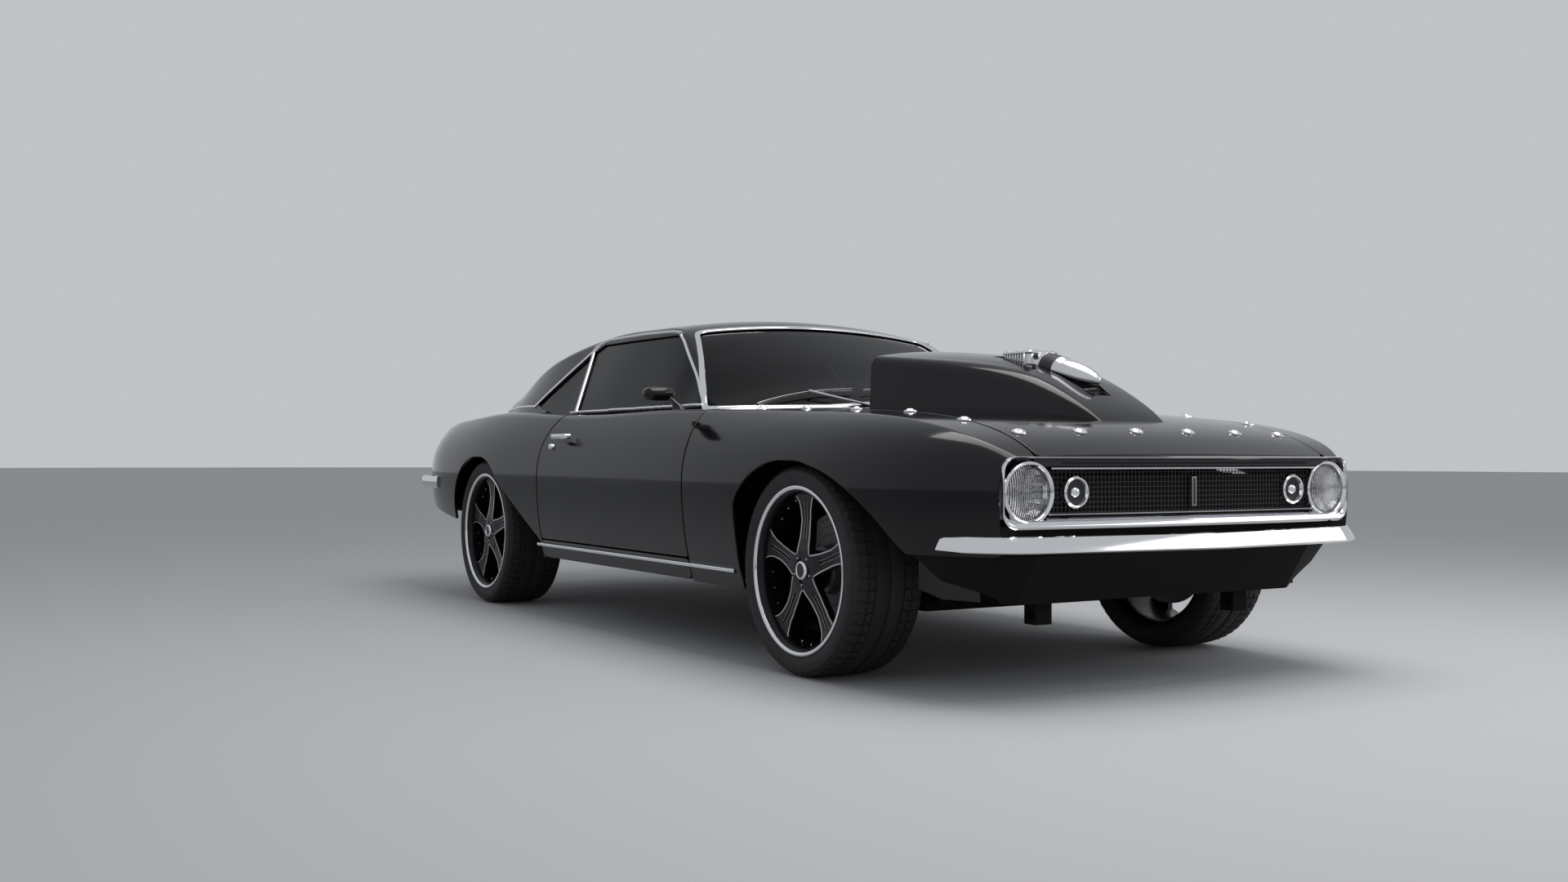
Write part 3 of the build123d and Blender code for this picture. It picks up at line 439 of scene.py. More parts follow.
def outline_gap(outline, rounding=0.0):
    """Distance outside a flat outline, negative inside, with its corners rounded."""
    loop = np.array(outline, float)
    ahead = np.roll(loop, -1, 0)
    if np.sum(loop[:, 0] * ahead[:, 1] - ahead[:, 0] * loop[:, 1]) < 0:
        loop = loop[::-1]
    if rounding:
        edge = np.roll(loop, -1, 0) - loop
        inward = unit(np.stack([-edge[:, 1], edge[:, 0]], 1))
        before = np.roll(inward, 1, 0)
        loop = loop + rounding * (inward + before) / (1 + np.sum(inward * before, 1))[:, None]
    edge = np.roll(loop, -1, 0) - loop

    def gap(q):
        nearest = np.full(len(q), np.inf)
        inside = np.zeros(len(q), bool)
        for p, e in zip(loop, edge):
            t = np.clip(((q - p) @ e) / (e @ e), 0, 1)
            nearest = np.minimum(nearest, np.hypot(*(q - p - t[:, None] * e).T))
            crosses = (p[1] > q[:, 1]) != (p[1] + e[1] > q[:, 1])
            inside ^= crosses & (q[:, 0] < p[0] + (q[:, 1] - p[1]) * e[0] / (e[1] or TINY))
        return np.where(inside, -nearest, nearest) - rounding

    return gap


GAP, SEAM, SET_BACK = 0.006, 0.0004, 0.002
DOOR_LOW, DOOR_FRONT, DOOR_REAR = 0.332, 0.705, -0.632
ARCH_R, AXLE_Z = 0.344, 0.332
FRONT_AXLE, REAR_AXLE = 1.415, -1.328
REAR_ROOM, REAR_ARCH_END = 0.04, REAR_AXLE - 0.384
HOOD_HALF, HOOD_REAR = 0.590, 0.985
LID_HALF, LID_FRONT, LID_LOW = 0.610, -1.648, 0.806
VALANCE_TOP, PANEL_FOOT, FENDER_REAR = 0.412, 0.34, 0.6
QUARTER_FRONT, QUARTER_FOOT, QUARTER_HALF, DECK_FRONT = -0.44, -0.628, 0.7, -1.05
REAR_TUCK = ([1.6, 1.72, 2.3], [0.2, 0.372, 0.43])
DOOR_LEAN, DOOR_OUT = 0.1, 0.96
PILLAR_X, DOOR_TOP_FRONT, DOOR_TOP_REAR = 0.394, 0.778, 0.690
COWL_HALF, COWL_REAR, COWL_HORN, HORN_HALF = 0.77, 0.54, 0.4, 0.7
door_line = [(DOOR_REAR, DOOR_LOW), (DOOR_FRONT, DOOR_LOW)]
door_line += bow((DOOR_FRONT, 0.6), (0.685, 0.745), (0.615, 0.9))
door_line += bow((-0.48, 0.9), (-0.58, 0.812), (-0.622, 0.7))
door_flat = outline_gap(door_line)
front_line = [(1.075, 0.2), (1.075, 0.535)] + bow((1.075, 0.535), (1.19, 0.634), (FRONT_AXLE, 0.672))[1:]
front_line += bow((FRONT_AXLE, 0.672), (1.655, 0.622), (1.85, 0.5))[1:] + [(2.068, 0.29), (2.068, 0.2)]
front_opening = outline_gap(front_line)
rear_line = [(-1.16, 0.624), (-1.107, 0.59), (-0.64, 0.318), (-0.64, 0.2), (REAR_ARCH_END, 0.2)]
rear_opening = outline_gap(rear_line + [(REAR_ARCH_END, AXLE_Z), (REAR_AXLE, AXLE_Z)])


def door_gap(p):
    """Distance outside the door's side outline, which leans as it runs in."""
    return door_flat(np.stack([p[:, 0] - DOOR_LEAN * (p[:, 1] + DOOR_OUT), p[:, 2]], 1))


def round_gap(p, x):
    """Distance outside a wheel's round opening."""
    return np.hypot(p[:, 0] - x, p[:, 2] - AXLE_Z) - ARCH_R


def front_arch(p):
    """Distance outside the front wheel's opening."""
    return np.minimum(front_opening(p[:, [0, 2]]), round_gap(p, FRONT_AXLE))


def rear_arch(p):
    """Distance outside the rear wheel's opening."""
    rounds = np.minimum(round_gap(p, REAR_AXLE), round_gap(p, REAR_AXLE - REAR_ROOM))
    return np.minimum(rear_opening(p[:, [0, 2]]), rounds)


def nose_x(y):
    """Place of the nose's bowed front line."""
    return NOSE_X - NOSE_BOW * (np.asarray(y) / NOSE_HALF) ** 2


def nose_line(p):
    """Distance behind the nose's bowed front edge."""
    return nose_x(p[:, 1]) - p[:, 0]


def graded(*spans):
    """Grid lines in spans of their own fineness, each with a start, an end and a count."""
    runs = [np.linspace(*span) for span in spans]
    return np.concatenate(runs[:1] + [run[1:] for run in runs[1:]])


s_side = graded((0, 1, 16), (1, 2, 20), (2, 3, 12), (3, 3.35, 10))
side_surface = surface_grid(hull_point, np.linspace(TAIL_X, NOSE_X, 270), s_side)
fender_keep = less(
    nose_line,
    lambda p: door_gap(p) - GAP,
    front_arch,
    lambda p: -p[:, 1] - np.where(p[:, 0] > HOOD_REAR - GAP, HOOD_HALF + GAP, COWL_HALF + SEAM),
    lambda p: p[:, 0] - FENDER_REAR,
    lambda p: np.where(p[:, 0] > FRONT_AXLE, p[:, 2] - VALANCE_TOP, 1),
    lambda p: np.where(p[:, 0] < DOOR_FRONT + GAP, p[:, 2] - PANEL_FOOT, 1),
)
quarter_keep = less(
    lambda p: door_gap(p) - GAP,
    rear_arch,
    lambda p: QUARTER_FRONT - p[:, 0],
    lambda p: -p[:, 1] - np.where(p[:, 0] > DECK_FRONT, QUARTER_HALF, LID_HALF + GAP),
    lambda p: np.where(p[:, 0] > QUARTER_FOOT, p[:, 2] - PANEL_FOOT, 1),
    lambda p: p[:, 2] - np.interp(-p[:, 0], *REAR_TUCK),
)
sill_keep = less(
    lambda p: np.minimum(p[:, 0] - QUARTER_FOOT - SEAM, DOOR_FRONT + GAP - SEAM - p[:, 0]),
    lambda p: DOOR_LOW - GAP - p[:, 2],
    lambda p: p[:, 2] - SILL_Z - SET_BACK,
)
door_keep = less(
    lambda p: -door_gap(p),
    lambda p: -p[:, 1] - np.where(p[:, 0] > PILLAR_X, DOOR_TOP_FRONT, DOOR_TOP_REAR),
)
for side, hand in HANDS.items():
    flip = hand > 0
    for node, keep, depth, body in (
        ("fender", fender_keep, 0.010, "body"),
        ("quarter", quarter_keep, 0.012, "body"),
        ("door", door_keep, 0.030, f"door_{side}"),
    ):
        panel = panel_from(f"{node}_skin_{side}", side_surface, keep, depth, flip=flip)
        dressed(panel, paint, body, "paint", f"{node}_{side}")
    sill = panel_from(f"sill_skin_{side}", side_surface, sill_keep, 0.030, flip=flip)
    dressed(sill, paint, "body", "paint", *when(flip, "sills"))

# Hood, cowl, upper deck and deck lid: crowned top panels of the same hull, pressed in steel, with even gaps.
# The hood is held by studs and lifts off; its middle is cut out under the scoop. The lid is hinged in front.
top_surface = surface_grid(hull_point, np.linspace(TAIL_X, NOSE_X, 330), np.linspace(2.0, 6.0, 150))
# Columns: x, half-width at the hood, crease half-width and height, top half-width and height, centre height.
SCOOP = np.array(
    [
        (1.050, 0.350, 0.342, 1.000, 0.306, 1.042, 1.066),
        (1.380, 0.276, 0.268, 0.962, 0.215, 1.012, 1.034),
        (1.670, 0.206, 0.198, 0.902, 0.132, 0.958, 0.967),
        (1.860, 0.168, 0.164, 0.838, 0.130, 0.874, 0.879),
        (1.960, 0.145, 0.142, 0.798, 0.128, 0.814, 0.818),
        (2.010, 0.134, 0.132, 0.764, 0.122, 0.776, 0.779),
    ]
)
SCOOP_REAR, SCOOP_FRONT = SCOOP[0, 0], SCOOP[-1, 0]
SCOOP_LAP, CUT_REAR, CUT_FRONT = 0.022, 1.07, 1.88


def scoop_room(p):
    """Distance outside the opening that the scoop covers."""
    half = smooth_rows(SCOOP, np.clip(p[:, 0], SCOOP_REAR, SCOOP_FRONT))[:, 0] - SCOOP_LAP
    return np.max([np.abs(p[:, 1]) - half, CUT_REAR - p[:, 0], p[:, 0] - CUT_FRONT], axis=0)


hood_keep = less(
    lambda p: nose_line(p) - SET_BACK,
    lambda p: p[:, 0] - HOOD_REAR,
    lambda p: HOOD_HALF - np.abs(p[:, 1]),
    scoop_room,
)
dressed(panel_from("hood_skin", top_surface, hood_keep), paint, "hood", "paint", "hood")
cowl_keep = less(
    lambda p: p[:, 0] - np.where(np.abs(p[:, 1]) < HORN_HALF, COWL_REAR, COWL_HORN),
    lambda p: HOOD_REAR - GAP - p[:, 0],
    lambda p: COWL_HALF - np.abs(p[:, 1]),
)
dressed(panel_from("cowl_skin", top_surface, cowl_keep), paint, "body", "paint", "cowl_panel")
deck_keep = less(
    lambda p: np.minimum(p[:, 0] - LID_FRONT - GAP, DECK_FRONT - p[:, 0]),
    lambda p: LID_HALF + GAP - SEAM - np.abs(p[:, 1]),
)
dressed(panel_from("upper_deck_skin", top_surface, deck_keep), paint, "body", "paint", "upper_deck")
lid_keep = less(lambda p: LID_FRONT - p[:, 0], lambda p: LID_HALF - np.abs(p[:, 1]))
dressed(panel_from("deck_lid_skin", top_surface, lid_keep), paint, "deck_lid", "paint", "deck_lid")

# Hood scoop: a tall closed cowl moulded in the same black and bonded to the hood, upright below its crease
# and softly rounded above, open at the back, with a slot along its top for the injector.
INLET_HALF, INLET_TIP, INLET_REAR, INLET_FRONT, INLET_LOW = 0.078, 0.034, 1.392, 1.846, 0.82
NOSE_ROOM_HALF, NOSE_ROOM_X, NOSE_ROOM_END = 0.0525, 1.578, 1.77
SCOOP_SINK, BEND_Y, BEND_Z = 0.008, 0.05, 0.06


def scoop_point(x, s):
    """Points of the scoop: s runs 0 to 1 up the right wall, to 2 over the rounding, to 3 at the middle."""
    x, hand, s = folded(x, s, 3)
    half, wall_y, wall_z, top_y, top_z, high = smooth_rows(SCOOP, x).T
    low = hull_top(x, half) - SCOOP_SINK
    t = np.clip(s, 0, 1)
    y, z = half + t * (wall_y - half), low + t * (wall_z - low)
    t = np.clip(s - 1, 0, 1)
    bend_y = wall_y * (1 - BEND_Y) + top_y * BEND_Y
    bend_z = top_z * (1 - BEND_Z) + wall_z * BEND_Z
    round_y = (1 - t) ** 2 * wall_y + 2 * t * (1 - t) * bend_y + t**2 * top_y
    round_z = (1 - t) ** 2 * wall_z + 2 * t * (1 - t) * bend_z + t**2 * top_z
    y, z = np.where(s > 1, round_y, y), np.where(s > 1, round_z, z)
    t = np.clip(s - 2, 0, 1)
    y = np.where(s > 2, top_y * (1 - t), y)
    z = np.where(s > 2, top_z + (high - top_z) * (1 - (1 - t) ** 2), z)
    return np.stack([x, hand * y, z], 1)


s_scoop = graded((0, 1, 8), (1, 2, 14), (2, 3, 16))
s_scoop = np.concatenate([s_scoop, 6 - s_scoop[-2::-1]])
scoop_surface = surface_grid(scoop_point, np.linspace(SCOOP_REAR, 1.99, 120), s_scoop)
inlet_half = [
    (INLET_REAR, INLET_HALF), (NOSE_ROOM_X, INLET_HALF), (NOSE_ROOM_X + 0.012, NOSE_ROOM_HALF),
    (NOSE_ROOM_END, NOSE_ROOM_HALF), (INLET_FRONT, INLET_TIP),
]
inlet_gap = outline_gap([(x, -y) for x, y in inlet_half] + inlet_half[::-1], 0.006)
scoop_keep = less(
    lambda p: np.where(p[:, 2] > INLET_LOW, inlet_gap(p[:, :2]), 1),
    lambda p: p[:, 2] - hull_top(p[:, 0], p[:, 1]) + 0.012,
)
dressed(panel_from("scoop_skin", scoop_surface, scoop_keep, 0.010, 0.004), paint, "hood", "paint")

# Tail: the flat rear face closes the hull; its middle is the tail panel, its top strip belongs to the deck
# lid and its corners to the quarters. A low ducktail lip is bonded along the lid's rear edge.
TAIL_BOW, TAIL_HALF, TAIL_LOW, CORNER_LOW = 0.010, 0.8, 0.43, 0.425
X_WAY, Y_WAY, Z_WAY = np.eye(3)
tail_section = hull_point(np.full(120, TAIL_X), np.linspace(0, 3, 120))


def inside_tail(p):
    """Distance inside the hull's rear outline."""
    half = np.interp(p[:, 2], tail_section[:, 2], -tail_section[:, 1])
    return np.minimum(half - np.abs(p[:, 1]), hull_top(TAIL_X, p[:, 1]) - p[:, 2])


def tail_point(y, z):
    """Points of the tail's slightly bowed face."""
    y, z = y.ravel(), z.ravel()
    return np.stack([TAIL_X - TAIL_BOW * (1 - (y / TAIL_HALF) ** 2), -y, z], 1)


tail_surface = surface_grid(tail_point, np.linspace(-0.84, 0.84, 120), np.linspace(0.41, 0.87, 40))
corner_keep = less(inside_tail, lambda p: -p[:, 1] - LID_HALF - GAP, lambda p: p[:, 2] - CORNER_LOW)
for side, hand in HANDS.items():
    corner = panel_from(f"quarter_end_{side}", tail_surface, corner_keep, flip=hand > 0)
    dressed(corner, paint, "body", "paint")
tail_keep = less(
    lambda p: LID_HALF + GAP - SEAM - np.abs(p[:, 1]),
    lambda p: np.minimum(p[:, 2] - TAIL_LOW, LID_LOW - GAP - p[:, 2]),
)
dressed(panel_from("tail_skin", tail_surface, tail_keep), paint, "body", "paint", "tail_panel")
lid_face_keep = less(inside_tail, lambda p: LID_HALF - np.abs(p[:, 1]), lambda p: p[:, 2] - LID_LOW)
dressed(panel_from("deck_lid_face", tail_surface, lid_face_keep), paint, "deck_lid", "paint")


def shaped(name, points, faces, sharp=35):
    """A piece from points and faces: doubles merged, faces outward, smooth up to an angle."""
    form = bmesh.new()
    made = [form.verts.new(p) for p in points]
    for face in faces:
        if len(set(face)) > 2 and form.faces.get([made[i] for i in face]) is None:
            form.faces.new([made[i] for i in face])
    bmesh.ops.remove_doubles(form, verts=form.verts, dist=1e-6)
    bmesh.ops.recalc_face_normals(form, faces=form.faces)
    mesh = bpy.data.meshes.new(name)
    form.to_mesh(mesh)
    form.free()
    mesh.polygons.foreach_set("use_smooth", [True] * len(mesh.polygons))
    mesh.set_sharp_from_angle(angle=radians(sharp))
    return put(name, mesh)


def ring_faces(rows, count, closed=False, capped=True):
    """Faces between rings of points, which join in a ring themselves or end in a cap."""
    faces = []
    for i in range(rows if closed else rows - 1):
        a, b = i * count, (i + 1) % rows * count
        faces += [(a + n, a + (n + 1) % count, b + (n + 1) % count, b + n) for n in range(count)]
    if capped and not closed:
        faces += [tuple(range(count)), tuple(range((rows - 1) * count, rows * count))]
    return faces


def swept(path, side, out, profile, closed=False, width=None):
    """Points and faces of a closed profile carried along a path: profile pairs run along side and out."""
    path, side, out = (np.asarray(v, float) for v in (path, side, out))
    profile = np.asarray(profile, float)
    side, out = np.broadcast_to(side, path.shape), np.broadcast_to(out, path.shape)
    width = np.ones(len(path)) if width is None else np.asarray(width)
    rings = path[:, None] + (profile[:, 0][None, :, None] * width[:, None, None]) * side[:, None]
    rings = rings + profile[:, 1][None, :, None] * out[:, None]
    return rings.reshape(-1, 3), ring_faces(len(path), len(profile), closed)


def trail(x, y, z):
    """Points from three coordinates, any of which may be one number for all."""
    return np.stack(np.broadcast_arrays(x, y, z), -1).astype(float)


LIP_LIFT, LIP_DROP, LIP_HALF = 0.010, 0.016, 0.695
lip_y = np.linspace(-LID_HALF + SET_BACK, LID_HALF - SET_BACK, 60)
lip_path = trail(0, lip_y, LIP_LIFT - LIP_DROP * (lip_y / LIP_HALF) ** 2)
lip_profile = [
    (-2.10, 0.842), (-2.16, 0.8505), (-2.21, 0.8605), (-2.24, 0.8665), (-2.254, 0.868), (-2.260, 0.8655),
    (-2.262, 0.860), (-2.258, 0.848), (-2.252, 0.832), (-2.246, 0.820), (-2.2, 0.820), (-2.12, 0.826),
]
ducktail = shaped("ducktail_lip", *swept(lip_path, X_WAY, Z_WAY, lip_profile), 50)
dressed(ducktail, paint, "deck_lid", "paint")

# Roof: one pressed shell from the windshield pillars over the crown to the broad sail panels behind the
# doors, leaded into the quarters and painted with the body.
ROOF_BASE, ROOF_REAR = 0.780, -1.642
CABIN_HALF, SIDE_HALF, SHIELD_END, BACK_START = 0.78, 0.45, -0.1, -0.8
# Columns: x, base half-width, rail half-width, rail height, crown, rail radius.
ROOF = np.array(
    [
        (0.720, 0.420, 0.300, 0.862, 0.022, 0.020),
        (0.640, 0.700, 0.560, 0.870, 0.062, 0.020),
        (0.540, 0.802, 0.690, 0.890, 0.098, 0.024),
        (0.400, 0.802, 0.655, 0.990, 0.084, 0.028),
        (0.260, 0.802, 0.618, 1.090, 0.066, 0.032),
        (0.130, 0.802, 0.585, 1.170, 0.051, 0.036),
        (-0.100, 0.804, 0.572, 1.202, 0.050, 0.040),
        (-0.400, 0.806, 0.568, 1.206, 0.054, 0.044),
        (-0.700, 0.806, 0.568, 1.188, 0.062, 0.048),
        (-1.000, 0.804, 0.604, 1.134, 0.078, 0.050),
        (-1.300, 0.796, 0.612, 1.044, 0.058, 0.048),
        (-1.500, 0.780, 0.616, 0.958, 0.030, 0.040),
        (-1.600, 0.764, 0.620, 0.915, 0.010, 0.030),
        (-1.665, 0.745, 0.622, 0.850, 0.006, 0.020),
    ]
)[::-1]
SIDE_WINDOW = [
    (0.535, 0.83), (0.52, 0.868), (0.16, 1.128), (0.092, 1.162), (-0.605, 1.164), (-0.69, 1.134),
    (-1.035, 0.914), (-0.94, 0.89), (-0.78, 0.866), (-0.76, 0.83),
]
side_flat = outline_gap(SIDE_WINDOW)


def roof_point(x, s, inset=0.0):
    """Points of the cabin: s runs 0 to 1 up the right side, to 2 round the rail, to 3 to the centre line."""
    x, hand, s = folded(x, s, 3)
    base_y, top_y, top_z, crown, r = smooth_rows(ROOF, x).T
    base_y, top_y, top_z = base_y - inset, top_y - 0.6 * inset, top_z - inset
    crown_r, top_a, cy, cz = crown_arc(top_y, top_z, crown, r)
    reach = np.hypot(base_y - cy, ROOF_BASE - cz)
    side_a = np.arctan2(ROOF_BASE - cz, base_y - cy) + np.arccos(np.clip(r / reach, 0, 1))
    side_y, side_z = cy + r * np.cos(side_a), cz + r * np.sin(side_a)
    t = np.clip(s, 0, 1)
    bend = side_a + np.clip(s - 1, 0, 1) * (top_a - side_a)
    over = top_a + np.clip(s - 2, 0, 1) * (pi / 2 - top_a)
    y = np.where(s < 1, base_y + t * (side_y - base_y), cy + r * np.cos(bend))
    z = np.where(s < 1, ROOF_BASE + t * (side_z - ROOF_BASE), cz + r * np.sin(bend))
    y = np.where(s > 2, crown_r * np.cos(over), y)
    z = np.where(s > 2, top_z + crown - crown_r * (1 - np.sin(over)), z)
    return np.stack([x, hand * y, z], 1)


def in_plane(origin, rise):
    """Reads points as the width across a window and the distance up its plane."""
    origin, rise = np.array(origin), np.array(rise)
    return lambda p: np.stack([p[:, 1], (p - origin) @ rise], 1)


shield_view = in_plane((0.430, 0, 1.053), (-0.866, 0, 0.5))
shield_line = [(-0.769, -0.33), (0.769, -0.33), (0.545, 0.316), (-0.545, 0.316)]
back_view = in_plane((-1.310, 0, 1.098), (-0.894, 0, -0.447))
back_line = [(-0.53, -0.25), (0.53, -0.25), (0.51, 0.4), (-0.51, 0.4)]
shield_flat, back_flat = outline_gap(shield_line, 0.05), outline_gap(back_line, 0.06)


def above_body(p, sink=0.004):
    """Height above the lower body's top, less the seam's sink."""
    return p[:, 2] - hull_top(p[:, 0], np.clip(p[:, 1], -CABIN_HALF, CABIN_HALF)) + sink


def shield_gap(p):
    """Distance outside the windshield's opening."""
    return np.where(p[:, 0] > SHIELD_END, shield_flat(shield_view(p)), 1)


def back_gap(p):
    """Distance outside the rear window's opening."""
    return np.where(p[:, 0] < BACK_START, back_flat(back_view(p)), 1)


def side_gap(p):
    """Distance outside the side windows' opening."""
    return np.where(np.abs(p[:, 1]) > SIDE_HALF, side_flat(p[:, [0, 2]]), 1)


def lid_room(p):
    """Distance outside the room that the deck lid needs."""
    return np.maximum(p[:, 0] - ROOF_REAR, np.abs(p[:, 1]) - LID_HALF - GAP)


x_roof = graded((-1.66, -0.9, 70), (-0.9, 0.0, 50), (0.0, 0.71, 90))
s_roof = graded((0.15, 1, 40), (1, 2, 12), (2, 3, 40))
s_roof = np.concatenate([s_roof, 6 - s_roof[-2::-1]])
roof_surface = surface_grid(roof_point, x_roof, s_roof)
roof_keep = less(side_gap, shield_gap, back_gap, above_body, lid_room)
roof = panel_from("roof_skin", roof_surface, roof_keep, 0.020, 0.004)
dressed(roof, paint, "body", "paint", "roof_shell")

# Glass: curved panes tinted almost black, painted shade for the dark cabin behind them, bent to the cabin's
# own surface and bedded in rubber a little below the roof skin; the door panes are held by the doors and move
# with them.
clear = {"Transmission_Weight": 1.0, "IOR": 1.24}
glass = grained("smoked_glass", (0.036, 0.039, 0.041), 0.008, 0.02, 2.0, **clear)
GLASS_IN = 0.008
pane_surface = surface_grid(lambda x, s: roof_point(x, s, GLASS_IN), x_roof, s_roof)
front_part = outline_gap([(-0.537, 0.78), (0.7, 0.78), (0.7, 1.2), (-0.714, 1.2)])
rear_part = outline_gap([(-0.555, 0.78), (-0.732, 1.2), (-1.2, 1.2), (-1.2, 0.78)])
pane_line = [(0.488, 0.80), (0.488, 0.883), (0.156, 1.121), (0.09, 1.155), (-0.609, 1.155), (-0.688, 1.127)]
door_pane = outline_gap(pane_line + [(-0.73, 1.112), (-0.73, 0.80)])
PANE_DEEP, PANE_EDGE, PANE_TUCK, PANE_FROM, DIVIDER_X = 0.005, 0.001, 0.003, 0.4, -0.555


def within(gap):
    """Keeps the inside of a side outline."""
    return lambda p: -gap(p[:, [0, 2]])


def right_half(p):
    """Distance to the right of the seats, where the right side's panes are."""
    return -p[:, 1] - PANE_FROM


pane_keeps = {
    "windshield": less(lambda p: PANE_TUCK - shield_gap(p), above_body),
    "rear_window": less(lambda p: PANE_TUCK - back_gap(p), above_body, lambda p: p[:, 0] - ROOF_REAR),
    "door_glass": less(
        lambda p: -side_gap(p), within(door_pane), within(front_part), above_body, right_half
    ),
    "quarter_glass": less(
        lambda p: PANE_TUCK - side_gap(p),
        within(rear_part),
        lambda p: DIVIDER_X - p[:, 0],
        above_body,
        right_half,
    ),
}
pane_sheets = {name: trimmed(*pane_surface, keep) for name, keep in pane_keeps.items()}
for name, sheet in pane_sheets.items():
    if name in ("windshield", "rear_window"):
        dressed(pressed_panel(f"{name}_pane", *sheet, PANE_DEEP, PANE_EDGE), glass, "body", "glass", name)
        continue
    for side, hand in HANDS.items():
        pane = pressed_panel(f"{name}_pane_{side}", *sheet, PANE_DEEP, PANE_EDGE, hand > 0)
        if name == "door_glass":
            dressed(pane, glass, f"door_{side}", "glass", f"door_glass_{side}")
        else:
            dressed(pane, glass, "body", "glass", *when(hand > 0, name))

# Window trim: bright rolled strips clipped round the windshield, the rear window and the quarter panes, a
# drip rail over the doors and a belt strip along the door tops.
chrome = grained("polished_chrome", (0.80, 0.80, 0.82), 0.05, 0.05, 9.0, Metallic=1.0)


def even_path(points, step, closed=False):
    """The same path in even steps."""
    points = np.asarray(points, float)
    if closed:
        points = np.concatenate([points, points[:1]])
    run = np.concatenate([[0], np.cumsum(np.linalg.norm(np.diff(points, axis=0), axis=1))])
    count = max(int(run[-1] / step), 3)
    marks = np.linspace(0, run[-1], count + 1)[: count if closed else count + 1]
    return np.stack([np.interp(marks, run, points[:, i]) for i in range(points.shape[1])], 1)


def border(sheet):
    """A sheet's longest border as one ordered loop of points with their normals."""
    at, normal, faces = sheet
    ahead = dict(rim_edges(faces))
    best = []
    while ahead:
        start = next(iter(ahead))
        loop = [start]
        while ahead.get(loop[-1]) is not None and ahead[loop[-1]] != start:
            loop.append(ahead.pop(loop[-1]))
        ahead.pop(loop[-1], None)
        if len(loop) > len(best):
            best = loop
    return np.concatenate([at[best], normal[best]], 1)


STRIP = [(-0.5, 0.0), (-0.42, 0.62), (-0.2, 0.95), (0.2, 0.95), (0.42, 0.62), (0.5, 0.0)]


def strip_along(name, path, normal, wide, high, closed=False):
    """Half-round strip of a width and a height along a path on a surface."""
    path, normal = np.asarray(path, float), np.asarray(normal, float)
    ahead = np.roll(path, -1, 0) - np.roll(path, 1, 0)
    if not closed:
        ahead[0], ahead[-1] = path[1] - path[0], path[-1] - path[-2]
    side = unit(np.cross(ahead, normal))
    profile = [(a * wide, b * high) for a, b in STRIP]
    return shaped(name, *swept(path, side, normal, profile, closed), 40)


def soft_loop(points, closed, rounds=3):
    """The same path with its corners softened."""
    for _ in range(rounds):
        mean = (np.roll(points, 1, 0) + 2 * points + np.roll(points, -1, 0)) / 4
        if not closed:
            mean[0], mean[-1] = points[0], points[-1]
        points = mean
    return points


for name, wide in (("windshield", 0.024), ("rear_window", 0.018)):
    loop = soft_loop(even_path(border(pane_sheets[name]), 0.012, True), True)
    path = loop[:, :3] + loop[:, 3:] * (GLASS_IN - 0.002)
    trim = strip_along(f"{name}_trim", path, loop[:, 3:], wide, 0.007, True)
    dressed(trim, chrome, "body", "chrome")


def roof_side(x, z):
    """Point and outward normal on the cabin's right side at a place and height."""
    s = np.linspace(0, 2.4, 400)
    last = len(s) - 2
    out, way = [], []
    for px, pz in zip(np.atleast_1d(x), np.atleast_1d(z)):
        line = roof_point(0 * s + px, s)
        i = min(max(int(np.argmin(np.abs(line[:, 2] - pz))), 1), last)
        step = line[i + 1] - line[i - 1]
        out.append(line[i])
        way.append(unit(np.array([0, -step[2], step[1]])))
    return np.array(out), np.array(way)


side_runs = {
    "pillar_trim": ([(0.545, 0.862), (0.525, 0.874), (0.165, 1.134), (0.115, 1.160)], 0.012, 0.006),
    "drip_rail": (
        [(0.115, 1.168), (0.06, 1.178), (-0.2, 1.183), (-0.60, 1.181), (-0.69, 1.155)], 0.014, 0.010,
    ),
    "quarter_trim": ([(-0.655, 1.160), (-0.70, 1.138), (-1.045, 0.916), (-1.06, 0.904)], 0.016, 0.007),
    "divider_trim": ([(-0.558, 0.866), (-0.70, 1.150)], 0.018, 0.006),
    "sail_moulding": ([(-1.06, 0.905), (-1.2, 0.908), (-1.4, 0.906), (-1.56, 0.896)], 0.012, 0.006),
}
for name, (run, wide, high) in side_runs.items():
    run = even_path(run, 0.02)
    path, normal = roof_side(run[:, 0], run[:, 1])
    path, normal = soft_loop(path, False), soft_loop(normal, False)
    for side, hand in HANDS.items():
        strip = strip_along(f"{name}_{side}", path * (1, -hand, 1), normal * (1, -hand, 1), wide, high)
        dressed(strip, chrome, "body", "chrome")
BELT_REAR, BELT_FRONT = -0.60, 0.52
belt_x = np.linspace(BELT_REAR, BELT_FRONT, 60)
belt_z = np.interp(belt_x, [BELT_REAR, BELT_FRONT], [0.866, 0.872])
belt, belt_normal = roof_side(belt_x, belt_z)
belt = belt + 0.002 * belt_normal
for side, hand in HANDS.items():
    strip = strip_along(
        f"belt_strip_{side}", belt * (1, -hand, 1), belt_normal * (1, -hand, 1), 0.014, 0.008,
    )
    dressed(strip, chrome, f"door_{side}", "chrome")

# Nose: a bright die-cast frame screwed round the opening, dished inwards, with a dark pierced strip under
# the hood lip, thin bright bars above and below a black square-mesh grille, and a bright post in its middle.
satin_black = grained("satin_black_enamel", (0.012, 0.012, 0.013), 0.42, 0.16, 420.0, 3.0, (0.15, 0.0004))
wire_metal = grained("black_mesh_wire", (0.075, 0.075, 0.078), 0.28, 0.14, 60.0, Metallic=0.8)


